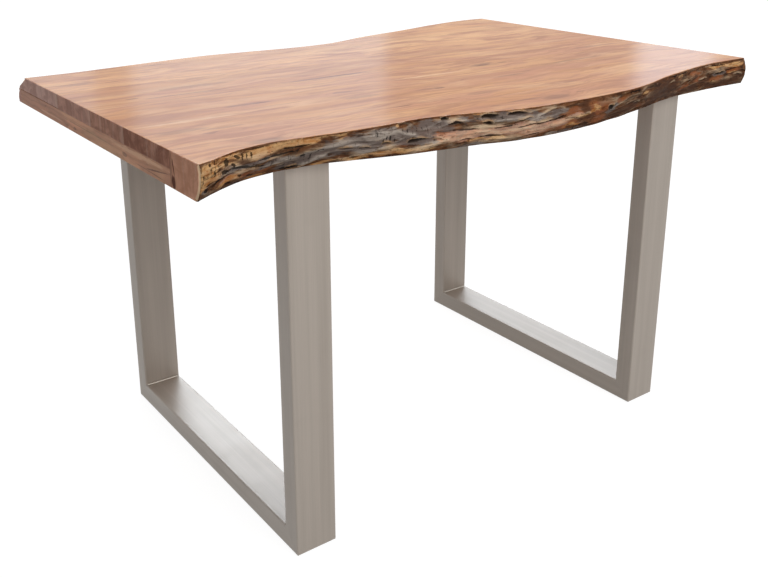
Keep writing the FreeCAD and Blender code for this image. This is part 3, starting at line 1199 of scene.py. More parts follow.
@dataclass
class LiveEdgeBoard:
    """Board that is sawn on all sides but one, with its live edge modelled in relief."""

    node: str
    side: Side
    story: EdgeStory
    finish: LiveEdgeFinish
    top_arris: float = 2.4 * MM
    bottom_arris: float = 1.6 * MM
    end_arris: float = 1.5 * MM
    column_pitch: float = 1.5 * MM
    row_pitch: float = 1.25 * MM
    support: float = 1.0 * MM
    cream_strip: float = 3.2 * MM
    worn_arris: float = 2.0 * MM
    worn_reach: float = 6.0 * MM
    calm_end: float = 28 * MM
    calm_share: float = 0.3
    rim_line: float = 1.3
    probe_margin: float = 2.0 * MM
    hem: int = 2
    strip_columns: int = 2
    low: Vector = field(init=False)
    high: Vector = field(init=False)
    surface: BVHTree = field(init=False)

    def __post_init__(self) -> None:
        """Reads the board's box and surface from its node."""
        self.low, self.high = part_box(self.node)
        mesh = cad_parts[self.node].data
        self.surface = BVHTree.FromPolygons([vert.co.copy() for vert in mesh.vertices],
                                            [tuple(face.vertices) for face in mesh.polygons])

    def build(self, table_top: float) -> None:
        """Builds the board as one closed mesh in its node's place.

        Args:
            table_top: Height of the table's upper face.
        """
        stations = self._stations()
        drops = self._drops()
        seam = self.high.y if self.side is Side.FRONT else self.low.y
        bm = bmesh.new()
        layers = {name: bm.verts.layers.float.new(name)
                  for name in ("skin", "hollow", "ridge_highlight", "lip", "rim", "charcoal", "gold", "rust", "bark",
                               "blush", "soot", "strip")}
        ring = len(drops) + 2 * self.hem
        traits: dict[tuple[int, int], dict[str, float]] = {}

        def place(i: int, j: int) -> Vector:
            """Works out where a vertex lies, and notes its traits.

            Args:
                i: Its column.
                j: Its row.

            Returns:
                Its place.
            """
            x = stations[i]
            drop = drops[min(max(j - self.hem, 0), len(drops) - 1)]
            inset = self._rounding(self.high.x - abs(x), self.end_arris)
            z = min(max(self.high.z - drop, self.low.z + inset), self.high.z - inset)
            y, found = self._edge_point(x, drop, table_top, inset)
            if j in (1, ring - 2):
                y -= self.side.value * self.support
            if j in (0, ring - 1):
                y = seam
            on_strip = min(i, len(stations) - 1 - i) < self.strip_columns
            on_edge = self.hem <= j < ring - self.hem
            traits[i, j] = {**found, "strip": float(on_strip)} if on_edge else {}
            if i in (0, len(stations) - 1):
                return self._within(x, y, z, seam, traits[i, j])
            ripple_light = self.worn_arris * max(0.0, 1 - (self.high.x - abs(x)) / self.worn_reach)
            return Vector((x - math.copysign(ripple_light * traits[i, j].get("skin", 0.0), x), y, z))

        grid = loft(bm, len(stations), ring, place)
        for (i, j), found in traits.items():
            for name, value in found.items():
                grid[i][j][layers[name]] = value
        self._close(bm, grid)
        finish_piece(bm, self.node + "_relief", self.finish, "live_edge_wood", self.node)

    def _within(self, x: float, y: float, z: float, seam: float, found: dict[str, float]) -> Vector:
        """Place of a vertex on the inner border of the pale strip round a sawn end.

        Args:
            x: X of the sawn end.
            y: Y on the end's outline.
            z: Z on the end's outline.
            seam: Y of the board's seam.
            found: Traits of the vertex, where the skin ends.

        Returns:
            The place, with the outline drawn in by the strip's width.
        """
        if found:
            found["skin"] = 0.0
        inward = 1 if y == seam else -1
        middle = (self.low.z + self.high.z) / 2
        share = 1 - 2 * self.cream_strip / (self.high.z - self.low.z)
        return Vector((x, y + inward * self.side.value * self.cream_strip, middle + (z - middle) * share))

    def _stations(self) -> list[float]:
        """Spaces the columns, close together at the rounded ends.

        Returns:
            Their places along X.
        """
        near_end = [0.0, 0.0, 0.25 * MM, 0.7 * MM, self.end_arris]
        inner = self.high.x - self.end_arris
        count = round(2 * inner / self.column_pitch)
        middle = [-inner + 2 * inner * step / count for step in range(1, count)]
        ends = [self.low.x + gap for gap in near_end]
        return ends + middle + [-x for x in reversed(ends)]

    def _drops(self) -> list[float]:
        """Spaces the rows, close together at the arrises.

        Returns:
            Their distances below the board's upper face.
        """
        thickness = self.high.z - self.low.z
        shares = (0.0, 0.08, 0.28, 0.6, 1.0)
        upper = [share * self.top_arris for share in shares]
        lower = [thickness - share * self.bottom_arris for share in reversed(shares)]
        count = round((lower[0] - upper[-1]) / self.row_pitch)
        step = (lower[0] - upper[-1]) / count
        return upper + [upper[-1] + step * number for number in range(1, count)] + lower

    @staticmethod
    def _rounding(distance: float, radius: float) -> float:
        """How far a rounded arris falls back at a distance from the sharp edge."""
        short = max(0.0, radius - distance)
        return radius - math.sqrt(max(0.0, radius * radius - short * short))

    def _edge_point(self, x: float, drop: float, table_top: float,
                    inset: float) -> tuple[float, dict[str, float]]:
        """Place and traits of the live edge's surface.

        Args:
            x: Place along the table.
            drop: Distance below the board's upper face.
            table_top: Height of the table's upper face.
            inset: How far a rounded end falls back.

        Returns:
            Y of the surface, and its traits by name.
        """
        out = self.side.value
        margin = self.probe_margin
        probe_x = min(max(x, self.low.x + margin), self.high.x - margin)
        probe_z = min(max(self.high.z - drop, self.low.z + margin), self.high.z - margin)
        hit = self.surface.ray_cast(Vector((probe_x, out, probe_z)), Vector((0, -out, 0)))[0]
        below_top = (table_top - self.high.z + drop) / MM
        height, traits = self.story.relief(x / MM, below_top)
        height *= grown(self.calm_share, self.high.x - abs(x), self.calm_end)
        lower_drop = self.high.z - self.low.z - drop
        fall = self._rounding(drop, self.top_arris) + self._rounding(lower_drop, self.bottom_arris) + inset
        traits.update(self.story.stains(x / MM, below_top), skin=ease(below_top, 0.1, 0.9),
                      rim=1 - ease(abs(below_top - self.rim_line), 0.4, 1.5))
        return hit.y + out * (height * MM - fall), traits

    @staticmethod
    def _close(bm: bmesh.types.BMesh, grid: list[list[bmesh.types.BMVert]]) -> None:
        """Closes the sheet at the seam and at both sawn ends.

        Args:
            bm: The board's mesh.
            grid: Its vertices by column and row.
        """
        seams = edges_between([column[0] for column in grid]) + edges_between([column[-1] for column in grid])
        for face in bm.faces:
            face.smooth = True
        bmesh.ops.bridge_loops(bm, edges=seams)
        sharp = seams
        for border, rim in ((grid[0], grid[1]), (grid[-1], grid[-2])):
            bmesh.ops.contextual_create(bm, geom=edges_between(border + border[:1]))
            sharp += edges_between(border + border[:1]) + edges_between(rim + rim[:1])
        for edge in sharp:
            edge.smooth = False


def scatter(seed: int, count: int, kind: type[Mark], *ranges: tuple[float, float]) -> tuple[Mark, ...]:
    """Marks scattered along a whole live edge.

    Args:
        seed: Seed of the scatter.
        count: How many marks.
        kind: Kind of mark.
        *ranges: Least and greatest drop, length, height, strength, lean and bow.

    Returns:
        The marks.
    """
    dice = random.Random(seed)
    return tuple(kind(dice.uniform(-HALF_LENGTH, HALF_LENGTH), *(dice.uniform(*span) for span in ranges))
                 for _ in range(count))


FRONT_STORY = EdgeStory(
    gouges=several(
        Gouge,
        (-481, 48, 18, 6, 7.0, -0.05, 1), (-399, 27, 30, 6, 4.0, 0.05, 2), (-376, 46, 22, 6, 6.0, -0.05, 2),
        (-370, 29, 22, 7, 5.0, 0.1, 3), (-330, 27, 22, 6, 4.0, 0.0, 4), (-302, 2, 16, 6, 4.0, -0.1, 2),
        (-274, 29, 46, 8, 8.0, -0.03, 4), (-236, 34, 24, 5, 4.0, 0.05, 2), (-221, 3, 14, 6, 7.0, -0.05, 2),
        (-203, 10, 28, 8, 8.0, 0.02, 3), (-185, 40, 30, 6, 4.0, -0.05, 2), (-142, 4, 34, 8, 8.0, -0.02, 3),
        (-147, 15, 24, 7, 7.0, 0.05, 3), (-91, 5, 46, 6, 6.0, 0.01, 3), (-80, 16, 34, 5, 5.0, -0.06, 2),
        (-38, 25, 36, 6, 6.0, -0.14, 2), (-139, 38, 40, 5, 3.0, 0.02, 2), (64, 26, 26, 8, 2.5, -0.1, 3),
        (131, 20, 22, 12, 4.0, 0.1, 3), (222, 28, 26, 8, 3.0, 0.05, 3), (370, 14, 26, 6, 3.0, -0.1, 2),
        (505, 27, 34, 7, 3.5, -0.05, 2), (566, 20, 40, 7, 6.0, -0.05, 3), (632, 30, 30, 6, 3.5, 0.05, 2),
    ),
    ridges=several(
        Ridge,
        (-560, 18, 130, 5, 1.6, -0.1), (-540, 27, 90, 3, 2.6, -0.14), (-560, 36, 70, 3, 2.2, 0.1),
        (-500, 33, 120, 4, 2.4, -0.16), (-453, 45, 70, 4, 3.6, -0.4, 2), (-430, 22, 110, 5, 2.4, -0.14),
        (-386, 25, 46, 3, 2.6, 0.1, 2), (-340, 13, 70, 6, 2.6, -0.05), (-345, 38, 90, 4, 2.4, -0.06),
        (-288, 21, 60, 3, 3.0, 0.34, 1), (-250, 43, 84, 4, 3.4, -0.22, -2), (-202, 8, 40, 3, 3.0, 0.02, 3),
        (-190, 32, 70, 4, 2.6, -0.06), (-150, 23, 90, 4, 2.6, 0.03), (-100, 14, 96, 2.6, 3.2, -0.02, 2),
        (-38, 11, 50, 2.6, 3.2, -0.3, 2), (-60, 24, 60, 3, 2.4, -0.12, 2), (-110, 47, 150, 5, 2.0, -0.03),
        (-160, 30, 90, 2.4, 2.6, 0.1, 2), (-90, 33, 110, 3, 2.0, -0.05), (-70, 41, 90, 3, 1.8, -0.08),
        (20, 30, 120, 5, 2.0, -0.16), (100, 14, 120, 4, 1.0, -0.06), (180, 20, 90, 4, 0.8, -0.1),
        (290, 24, 150, 5, 1.0, -0.1), (350, 38, 130, 5, 0.8, -0.08), (440, 16, 120, 4, 0.9, -0.1),
        (560, 14, 120, 4, 1.4, -0.06), (590, 36, 120, 5, 1.2, -0.04),
    ),
    charcoal=several(
        Blot,
        (-646, 43, 16, 10, 0.7), (-596, 26, 70, 12, 0.6, -0.02), (-556, 26, 110, 14, 0.8, -0.12),
        (-515, 34, 100, 14, 0.8, -0.18), (-470, 38, 110, 34, 1.0, -0.22), (-420, 24, 120, 38, 1.0, -0.16),
        (-372, 26, 120, 42), (-330, 18, 110, 34), (-285, 24, 110, 40), (-240, 14, 110, 24, 0.9),
        (-256, 34, 70, 18, 0.7), (-190, 10, 80, 16, 0.8), (-110, 10, 120, 17, 0.9),
        (-50, 16, 90, 18, 0.8, -0.1), (-8, 14, 60, 20, 0.7), (-170, 53, 70, 6, 0.8),
        (20, 53, 110, 7, 0.8, -0.02), (131, 26, 34, 26, 0.8), (566, 23, 60, 14, 0.9),
    ),
    gold=several(
        Blot,
        (-640, 16, 60, 40), (-655, 28, 30, 44, 0.9), (-610, 4, 90, 12), (-595, 10, 70, 26, 0.9),
        (-535, 10, 130, 26, 1.0, -0.04), (-480, 5, 130, 14, 1.0, -0.02), (-420, 3, 60, 8, 0.9),
        (-409, 12, 30, 16, 0.8), (-420, 51, 70, 8), (-618, 45, 34, 9, 0.7), (-600, 41, 70, 12, 0.7),
        (-548, 31, 50, 6, 0.8, -0.1), (-578, 47, 46, 7, 0.7, 0.05), (-540, 51, 60, 6, 0.8),
        (-376, 49, 60, 13), (-320, 47, 120, 12, 1.0, 0.02), (-262, 49, 70, 10, 0.9), (-310, 3, 14, 7),
        (-172, 43, 40, 7, 0.9), (-133, 45, 60, 8, 0.8), (-110, 1, 190, 4), (-66, 2, 50, 6),
        (-148, 12, 26, 5), (60, 27, 110, 9, 0.9, -0.14), (30, 43, 60, 12, 0.5), (93, 18, 30, 16, 0.8),
        (250, 13, 50, 8, 0.9, -0.1), (400, 10, 40, 8, 0.6), (553, 39, 50, 12, 0.8), (545, 10, 80, 9, 0.7),
        (611, 8, 110, 13), (611, 25, 50, 6, 0.9),
    ),
    rust=several(
        Blot,
        (-551, 42, 90, 18, 0.7), (-545, 26, 60, 10, 0.8, 0.1), (-215, 27, 90, 14, 0.8),
        (-300, 36, 40, 14, 0.6), (-236, 24, 80, 18), (-190, 28, 60, 12, 0.9), (-50, 44, 110, 14, 0.8),
        (20, 40, 90, 20, 0.9), (36, 18, 80, 24, 0.9), (93, 20, 90, 34), (110, 42, 80, 18, 0.8),
        (160, 14, 80, 16, 0.8), (250, 40, 60, 12, 0.5), (433, 34, 50, 24, 0.8), (470, 14, 70, 14, 0.8),
        (490, 26, 60, 18, 0.8), (553, 34, 70, 22, 0.9), (610, 20, 80, 20, 0.8),
    ),
    bark=several(
        Blot,
        (-570, 20, 150, 12, 0.7, 0.26), (-590, 46, 120, 12, 0.6), (64, 10, 50, 14, 0.9),
        (70, 31, 60, 12, 0.8), (62, 17, 40, 22, 0.8), (170, 38, 130, 30, 0.9, -0.05),
        (222, 28, 90, 34, 0.9), (340, 28, 190, 60), (290, 44, 120, 26, 0.9), (440, 46, 130, 26, 0.8),
        (470, 22, 40, 18, 0.6), (510, 32, 60, 20, 0.8), (580, 45, 170, 26), (632, 34, 80, 24),
        (566, 22, 60, 12, 0.9),
    ),
    blush=several(
        Blot,
        (-600, 38, 60, 8, 0.6, 0.05), (-470, 51, 60, 6, 0.7), (-226, 32, 100, 20), (-180, 33, 120, 26),
        (-120, 32, 130, 26), (-60, 34, 130, 28), (-10, 32, 80, 22, 0.8), (40, 26, 60, 12, 0.5),
    ),
    soot=several(
        Blot,
        (-632, 20, 5, 12), (-641, 6, 6, 8, 0.8), (-653, 20, 5, 9, 0.9), (-646, 42, 12, 10, 0.9),
        (-608, 11, 13, 15), (-612, 24, 18, 10, 0.9), (-594, 19, 12, 8, 0.9, 0.4),
        (-587, 9, 16, 7, 1.0, 0.5), (-577, 11, 5, 15), (-569, 12, 5, 15), (-561, 11, 5, 12, 0.9),
        (-548, 4, 60, 4, 0.7), (-566, 29, 90, 6, 0.9, 0.2), (-622, 34, 18, 9, 0.8), (-600, 46, 16, 5, 0.7),
        (-578, 40, 12, 6, 0.7, 0.3), (-556, 46, 18, 5, 0.7), (-510, 21, 100, 5, 0.9, -0.06),
        (-486, 13, 70, 5, 0.8, -0.04), (-482, 50, 50, 8), (-470, 30, 12, 6, 0.8),
        (-190, 24, 70, 4, 0.8, 0.03), (-120, 26, 60, 3, 0.8, -0.05), (-70, 28, 70, 4, 0.8, -0.08),
        (-140, 40, 70, 4, 0.8, 0.04), (-60, 46, 60, 4, 0.8, -0.04), (-10, 24, 60, 4, 0.7, -0.16),
        (-333, 20, 4, 14), (-326, 22, 4, 16), (-338, 24, 4, 12, 0.9), (-318, 26, 4, 10, 0.8),
        (-219, 4, 14, 6), (131, 24, 20, 16, 0.8), (205, 6, 60, 4, 0.7), (400, 4, 110, 4, 0.8),
        (560, 6, 90, 4, 0.7, 0.03), (600, 18, 80, 4, 0.8, -0.04),
    ),
)

BACK_STORY = EdgeStory(
    gouges=scatter(11, 26, Gouge, (4, 46), (20, 60), (5, 9), (3, 8), (-0.1, 0.1), (0, 4)),
    ridges=scatter(12, 26, Ridge, (8, 48), (60, 150), (3, 5), (1.6, 3.2), (-0.16, 0.1), (0, 2)),
    charcoal=scatter(13, 24, Blot, (8, 50), (60, 130), (14, 40), (0.6, 1.0), (-0.1, 0.1)),
    gold=scatter(14, 22, Blot, (5, 50), (50, 120), (8, 22), (0.7, 1.0), (-0.1, 0.1)),
    rust=scatter(15, 22, Blot, (8, 46), (60, 120), (14, 30), (0.7, 1.0), (-0.1, 0.1)),
    bark=scatter(16, 14, Blot, (8, 50), (60, 180), (14, 40), (0.7, 1.0), (-0.1, 0.1)),
    blush=(Blot(-650, 12, 50, 40),)
    + scatter(18, 10, Blot, (12, 46), (60, 130), (10, 24), (0.7, 1.0), (-0.1, 0.1)),
    soot=scatter(17, 30, Blot, (6, 46), (4, 14), (6, 14), (0.6, 1.0)),
    seed=31.0,
)


# ---------------------------------------------------------------- the top


SMOKE = shade(142, 98, 78)
DARK_MARK = shade(104, 68, 52)
PALE_MARK = shade(242, 200, 160)
CRACK = shade(84, 38, 26)
PALE_LEAF = shade(255, 200, 158)
DARK_LINE = shade(98, 54, 36)

STAVE_STROKES = (
    several(
        Stroke,
        (-0.6, -0.277, 0.11, 0.028, SMOKE, 0.45), (-0.54, -0.292, 0.1, 0.014, SMOKE, 0.4),
        (-0.56, -0.222, 0.2, 0.014, PALE_MARK, 0.5), (-0.238, -0.231, 0.1, 0.022, SMOKE, 0.4),
        (-0.083, -0.252, 0.034, 0.009, DARK_MARK, 0.55), (-0.1, -0.246, 0.08, 0.018, SMOKE, 0.4),
        (-0.046, -0.329, 0.1, 0.024, SMOKE, 0.35), (-0.225, -0.334, 0.046, 0.006, DARK_MARK, 0.55),
        (0.111, -0.234, 0.11, 0.01, SMOKE, 0.45), (0.155, -0.349, 0.05, 0.006, DARK_MARK, 0.35),
    ),
    several(
        Stroke,
        (-0.434, -0.167, 0.11, 0.018, SMOKE, 0.55, 0.03),
        (-0.402, -0.17, 0.05, 0.007, DARK_MARK, 0.5, 0.05), (0.147, -0.112, 0.09, 0.03, SMOKE, 0.6, 0.05),
        (0.14, -0.118, 0.052, 0.01, DARK_MARK, 0.6, 0.05), (0.2, -0.116, 0.03, 0.01, DARK_MARK, 0.45),
        (-0.029, -0.142, 0.2, 0.009, PALE_MARK, 0.6), (0.331, -0.185, 0.24, 0.014, DARK_MARK, 0.35, 0.03),
        (0.52, -0.08, 0.2, 0.016, SMOKE, 0.4),
    ),
    several(
        Stroke,
        (-0.47, -0.026, 0.23, 0.006, DARK_MARK, 0.45), (-0.44, 0.031, 0.17, 0.03, SMOKE, 0.4),
        (-0.569, -0.012, 0.03, 0.008, DARK_MARK, 0.5), (-0.182, -0.04, 0.26, 0.016, SMOKE, 0.65, 0.02),
        (-0.15, -0.038, 0.16, 0.006, DARK_MARK, 0.35, 0.02), (0.26, 0.04, 0.18, 0.012, DARK_MARK, 0.22),
    ),
)

BATTEN_STROKES = (
    several(
        Stroke,
        (-0.25, 0.7268, 0.25, 0.01, PALE_LEAF, 0.85), (-0.318, 0.718, 0.1, 0.003, DARK_LINE, 0.75, -0.12),
        (-0.29, 0.7115, 0.14, 0.0022, DARK_LINE, 0.45, 0.03),
        (0.026, 0.7137, 0.018, 0.006, DARK_LINE, 0.45), (-0.197, 0.7168, 0.022, 0.007, DARK_LINE, 0.5),
        (-0.02, 0.7215, 0.3, 0.0024, DARK_LINE, 0.35, 0.012), (0.15, 0.714, 0.16, 0.005, PALE_LEAF, 0.5),
    ),
    several(
        Stroke,
        (0.12, 0.723, 0.22, 0.009, PALE_LEAF, 0.7), (-0.06, 0.715, 0.02, 0.006, DARK_LINE, 0.7),
        (-0.2, 0.719, 0.18, 0.0026, DARK_LINE, 0.45, 0.02),
    ),
)


@dataclass
class BoardTop:
    """The glued top: live edge boards in relief, and sawn boards as they are."""

    table_top: float = CAD_BOUNDS[1][2]
    fitted_arris: float = 0.4 * MM

    def build(self) -> None:
        """Builds the live edges and dresses the sawn boards."""
        self._live_edges()
        self._staves()
        self._battens()

    def _live_edges(self) -> None:
        """Builds the three pieces that carry a live edge."""
        front_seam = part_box("front_live_edge_board")[1].y
        back_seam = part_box("back_live_edge_board")[0].y
        front = LiveEdgeFinish(
            "front_board_wood", pith_y=front_seam + 0.10, seed=3.1, seams=(front_seam,),
            end_tint=shade(246, 186, 154), end_dark=shade(222, 160, 130),
            strokes=several(
                Stroke,
                (-0.03, -0.418, 0.11, 0.012, SMOKE, 0.5), (0.1, -0.424, 0.026, 0.004, DARK_MARK, 0.5),
                (-0.3, -0.4, 0.12, 0.012, SMOKE, 0.3)),
            end_strokes=several(
                Stroke,
                (0.737, -0.3765, 0.034, 0.004, CRACK, 0.9, 0.19), (0.716, -0.375, 0.022, 0.016, CRACK, 0.85),
                (0.735, -0.369, 0.06, 0.012, CRACK, 0.4)))
        back = LiveEdgeFinish(
            "back_board_wood", pith_y=back_seam + 0.16, seed=8.4, seams=(back_seam,), pale_seams=(back_seam,),
            pale_strength=0.60, pale=shade(244, 190, 136), tan=shade(230, 170, 118),
            end_tint=shade(246, 204, 190), end_dark=shade(214, 168, 154),
            strokes=several(
                Stroke,
                (-0.4, 0.283, 0.06, 0.014, SMOKE, 0.55), (-0.49, 0.157, 0.018, 0.006, DARK_MARK, 0.55),
                (-0.6, 0.172, 0.09, 0.026, SMOKE, 0.45), (0.55, 0.33, 0.13, 0.022, SMOKE, 0.35)))
        lipping = LiveEdgeFinish("back_lipping_wood", pith_y=back_seam + 0.16, seed=12.9,
                                 end_tint=shade(250, 198, 180), end_dark=shade(222, 168, 150))
        fitted = self.fitted_arris
        for board in (
            LiveEdgeBoard("front_live_edge_board", Side.FRONT, FRONT_STORY, front),
            LiveEdgeBoard("back_live_edge_board", Side.BACK, BACK_STORY, back, bottom_arris=fitted),
            LiveEdgeBoard("back_edge_lipping", Side.BACK, BACK_STORY, lipping, top_arris=fitted),
        ):
            board.build(self.table_top)

    @staticmethod
    def _staves() -> None:
        """Dresses the three plain deck staves, each with its own figure."""
        for number, node in enumerate(("front_deck_stave", "middle_deck_stave", "back_deck_stave")):
            low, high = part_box(node)
            dress_node(node, BoardFinish(
                node.replace("stave", "wood"),
                pith_y=(low.y + high.y) / 2 + (0.05, -0.07, 0.03)[number],
                pith_z=(0.62, 0.50, 0.66)[number],
                seed=(5.3, 14.2, 21.7)[number],
                end_tint=(shade(206, 148, 124), shade(224, 168, 144), shade(232, 180, 160))[number],
                end_dark=(shade(160, 108, 88), shade(184, 132, 112), shade(196, 146, 130))[number],
                seams=(low.y, high.y),
                pale_seams=(low.y,) if number else (),
                strokes=STAVE_STROKES[number],
            ))

    @staticmethod
    def _battens() -> None:
        """Dresses the two end battens, whose grain runs across the table."""
        for number, node in enumerate(("left_end_batten", "right_end_batten")):
            low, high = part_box(node)
            dress_node(node, BoardFinish(
                node.replace("batten", "batten_wood"), grain=Axis.Y, pale=shade(255, 188, 144),
                tan=shade(240, 160, 118), ring_tint=shade(178, 112, 78), dark_tint=shade(150, 90, 64),
                soak=0.35, pith_y=(-0.7, 0.7)[number], pith_z=0.70, ring_width=0.005, ring_sway=0.35,
                ring_strength=0.18, strokes=BATTEN_STROKES[number], seed=(2.6, 17.4)[number],
                seams=(low.y,), seam_strength=0.8, glue_level=high.z,
            ))


# ---------------------------------------------------------------- the frames


@dataclass
class WeldBead:
    """Fillet of weld metal across an inner corner of a frame."""

    low: Vector
    high: Vector
    toward_y: int
    toward_z: int
    ripple_pitch: float = 2.4 * MM
    ripple_depth: float = 0.35 * MM
    ripple_lag: float = 0.55
    ripple_power: float = 0.6
    ripple_mean: float = 0.6
    swelling: float = 0.22
    taper: float = 30.0
    columns: int = 150
    rows: int = 9
    merge_distance: float = 0.001 * MM

    def add_to(self, bm: bmesh.types.BMesh, ripple: bmesh.types.BMLayerItem) -> None:
        """Adds the bead to a mesh.

        Args:
            bm: Mesh to add to.
            ripple: Layer that holds the height of the ripples.
        """
        leg = self.high.y - self.low.y
        corner_y = self.low.y if self.toward_y > 0 else self.high.y
        corner_z = self.low.z if self.toward_z > 0 else self.high.z
        length = self.high.x - self.low.x
        waves: dict[tuple[int, int], float] = {}

        def place(i: int, j: int) -> Vector:
            """Works out where a vertex lies, and notes the height of its ripple.

            Args:
                i: Its column.
                j: Its row.

            Returns:
                Its place.
            """
            along = i / (self.columns - 1)
            x = self.low.x + length * along
            if j in (0, self.rows - 1):
                return Vector((x, corner_y, corner_z))
            turn = (j - 1) / (self.rows - 3)
            bow = math.sin(math.pi * turn)
            phase = x / self.ripple_pitch + self.ripple_lag * bow
            waves[i, j] = abs(math.sin(math.pi * phase)) ** self.ripple_power
            fade = min(1.0, along * self.taper, (1 - along) * self.taper) ** 0.5
            raised = self.swelling * leg * bow + (waves[i, j] - self.ripple_mean) * self.ripple_depth * bow
            return Vector((x, corner_y + self.toward_y * (leg * (1 - turn) + raised) * fade,
                           corner_z + self.toward_z * (leg * turn + raised) * fade))

        grid = loft(bm, self.columns, self.rows, place)
        for (i, j), wave in waves.items():
            grid[i][j][ripple] = wave
        for column in (grid[0], grid[-1]):
            bmesh.ops.contextual_create(bm, geom=edges_between(column + column[:1]))
        sheet = [vert for column in grid for vert in column]
        bmesh.ops.remove_doubles(bm, verts=sheet, dist=self.merge_distance)


@dataclass
class SteelFrame:
    """One closed frame of rectangular tube with its welds, fixings and glides."""

    name: str
    weld_leg: float = 3.0 * MM

    def build(self) -> None:
        """Dresses the tubes and fixings and builds the weld beads."""
        upright = SteelFinish("upright_steel", brushing=Axis.Z)
        bar = SteelFinish("bar_steel", brushing=Axis.Y)
        zinc = ZincFinish("zinc_plate")
        for part, finish in (
            ("front_upright", upright), ("back_upright", upright), ("floor_bar", bar), ("top_bar", bar),
            ("fixing_screws", zinc), ("screw_washers", zinc), ("threaded_inserts", zinc),
            ("floor_glides", PlasticFinish("glide_plastic")),
        ):
            dress_node(f"{self.name}_{part}", finish)
        self._welds()

    def _welds(self) -> None:
        """Builds the four beads of the frame as one piece."""
        node = f"{self.name}_corner_welds"
        low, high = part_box(node)
        leg = self.weld_leg
        bm = bmesh.new()
        ripple = bm.verts.layers.float.new("ripple")
        for y, toward_y in ((low.y, 1), (high.y, -1)):
            for z, toward_z in ((low.z, 1), (high.z, -1)):
                start = Vector((low.x, min(y, y + toward_y * leg), min(z, z + toward_z * leg)))
                end = Vector((high.x, start.y + leg, start.z + leg))
                WeldBead(start, end, toward_y, toward_z).add_to(bm, ripple)
        for face in bm.faces:
            face.smooth = True
        finish_piece(bm, f"{self.name}_weld_beads", WeldFinish("weld_metal"), "frame_steel", node)


# ---------------------------------------------------------------- the studio


@dataclass(frozen=True)
class Screen:
    """White screen of the studio, as the angles that it fills seen from the table, in degrees."""

    left: float
    right: float
    bottom: float
    top: float
    level: float
    soft: float = 1.0

    def light(self, heading: Signal, rise: Signal) -> Signal:
        """Light that the screen sends.

        Args:
            heading: Angle of a ray from +Y towards +X.
            rise: Angle of a ray above the horizon.

        Returns:
            The light, 0 outside the screen.
        """
        across = heading.step(self.left - self.soft, self.left + self.soft)
        across *= heading.step(self.right + self.soft, self.right - self.soft)
        upward = rise.step(self.bottom - 2 * self.soft, self.bottom + 2 * self.soft)
        upward *= rise.step(self.top + 2 * self.soft, self.top - 2 * self.soft)
        return across * upward * self.level


@dataclass(frozen=True)
class Softbox:
    """Square soft light, with the point that it faces, its side in metres and its power in watts."""

    name: str
    place: Vector
    target: Vector
    size: float
    power: float

    def hang(self) -> None:
        """Adds the lamp to the scene."""
        lamp = bpy.data.lights.new(self.name, "AREA")
        lamp.size = self.size
        lamp.energy = self.power
        holder = add_object(self.name, lamp)
        holder.location = self.place
        holder.rotation_euler = (self.target - self.place).to_track_quat("-Z", "Y").to_euler()


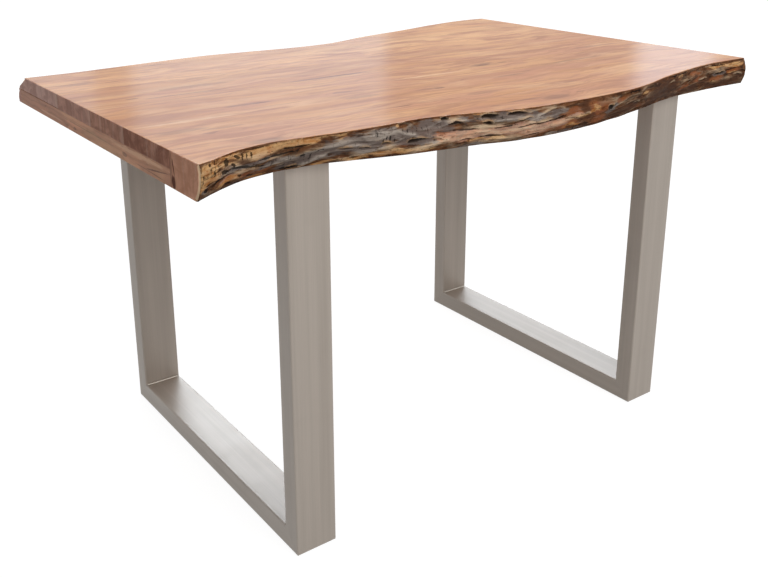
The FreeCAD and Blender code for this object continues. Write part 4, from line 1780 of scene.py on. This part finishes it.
@dataclass
class Studio:
    """Pale floor, soft light and the camera."""

    eye: Vector = Vector((-1.1615, -1.5421, 1.0932))
    turn: float = math.radians(36.46)
    tilt: float = math.radians(17.38)
    lens: float = 43.9
    sensor: float = 36.0
    shift: float = -0.1302
    floor_size: float = 60.0
    floor_grey: Colour = (0.36, 0.36, 0.36, 1.0)
    floor_glow: float = 1.84
    far_glow: float = 0.20
    far_from: float = 1.2
    far_to: float = 5.0
    glow_share: float = 0.50
    softboxes: tuple[Softbox, ...] = (
        Softbox("overhead_softbox", Vector((0.8, 1.0, 3.6)), Vector((0.3, 0.3, 0.7)), 4.0, 52.0),
        Softbox("front_softbox", Vector((0.0, -3.4, 2.4)), Vector((0.0, 0.0, 0.45)), 2.2, 70.0),
    )
    screens: tuple[Screen, ...] = (
        Screen(-60, 19.3, -3, 20, 1.8, 0.6),
        Screen(20.9, 36.9, -3, 20, 2.1),
        Screen(51.4, 56.2, -3, 20, 2.9),
        Screen(5, 35, 23, 48, 9.2, 3.0),
        Screen(35, 62, 23, 48, 6.6, 3.0),
    )
    screen_tint: Colour = shade(230, 243, 255)
    white: Colour = shade(255, 255, 255)
    spill: float = 0.26
    ambient: float = 0.30
    mirrored_cap: float = 31.0
    cool_from: float = 0.4
    cool_to: float = 2.4

    def build(self) -> None:
        """Sets up camera, floor, lamps and world."""
        self._camera()
        self._floor()
        for softbox in self.softboxes:
            softbox.hang()
        self._world()
        bpy.context.scene.view_settings.view_transform = "Standard"

    def _camera(self) -> None:
        """Puts the camera at its place."""
        camera = bpy.data.cameras.new("camera")
        camera.lens = self.lens
        camera.sensor_width = self.sensor
        camera.shift_y = self.shift
        holder = add_object("camera", camera)
        holder.location = self.eye
        holder.rotation_euler = (math.pi / 2 - self.tilt, 0.0, -self.turn)
        bpy.context.scene.camera = holder

    def _floor(self) -> None:
        """Lays a white floor that keeps part of the table's shadow."""
        bm = bmesh.new()
        bmesh.ops.create_grid(bm, x_segments=8, y_segments=8, size=self.floor_size / 2)
        mesh = bpy.data.meshes.new("floor")
        bm.to_mesh(mesh)
        bm.free()
        material = bpy.data.materials.new("floor_white")
        material.use_nodes = True
        graph = Graph(material.node_tree)
        x, y, _ = graph.position().parts()
        away = (x * x + y * y).apply("SQRT")
        matte = graph.add("BsdfDiffuse", self.floor_grey)
        far = away.step(self.far_from, self.far_to)
        glow = graph.fill(graph.add("Emission"), Strength=far * self.far_glow + self.floor_glow)
        straight, mirrored = self._rays(graph)
        mixed = graph.add("MixShader", straight.most(mirrored) * self.glow_share, matte.outputs[0],
                          glow.outputs[0])
        graph.add("OutputMaterial", mixed.outputs[0])
        mesh.materials.append(material)
        floor = add_object("floor", mesh)

    @staticmethod
    def _rays(graph: Graph) -> tuple[Signal, Signal]:
        """1 for rays that look straight, and 1 for rays that look by way of metal or glass."""
        rays = graph.outputs(graph.add("LightPath"))
        return rays["Is Camera Ray"], rays["Is Transmission Ray"].most(rays["Is Glossy Ray"])

    def _world(self) -> None:
        """Surrounds the table with white, and with the studio's screens for its light and its reflections."""
        world = bpy.data.worlds.new("studio")
        world.use_nodes = True
        graph = Graph(world.node_tree)
        x, y, z = graph.outputs(graph.add("TexCoord"))["Generated"].parts()
        heading = x.apply("ARCTAN2", y) * math.degrees(1.0)
        rise = z.apply("ARCSINE") * math.degrees(1.0)
        shine = self.screens[0].light(heading, rise)
        for screen in self.screens[1:]:
            shine = shine.most(screen.light(heading, rise))
        straight, mirrored = self._rays(graph)
        light = (shine * self.spill).most(self.ambient).most(mirrored * shine.most(1.0))
        cap = straight * (1.0 - self.mirrored_cap) + self.mirrored_cap
        cool = shine.step(self.cool_from, self.cool_to) * mirrored
        sky = graph.add("Background", graph.blend(cool, self.white, self.screen_tint),
                        straight.most(light).apply("MINIMUM", cap))
        graph.add("OutputWorld", sky.outputs[0])
        bpy.context.scene.world = world


def main() -> None:
    """Builds the table from its top down to the floor, then the studio."""
    logging.basicConfig(level=logging.INFO, format="%(name)s: %(message)s")
    BoardTop().build()
    for name in ("left", "right"):
        SteelFrame(name).build()
    Studio().build()


if __name__ == "__main__":
    main()
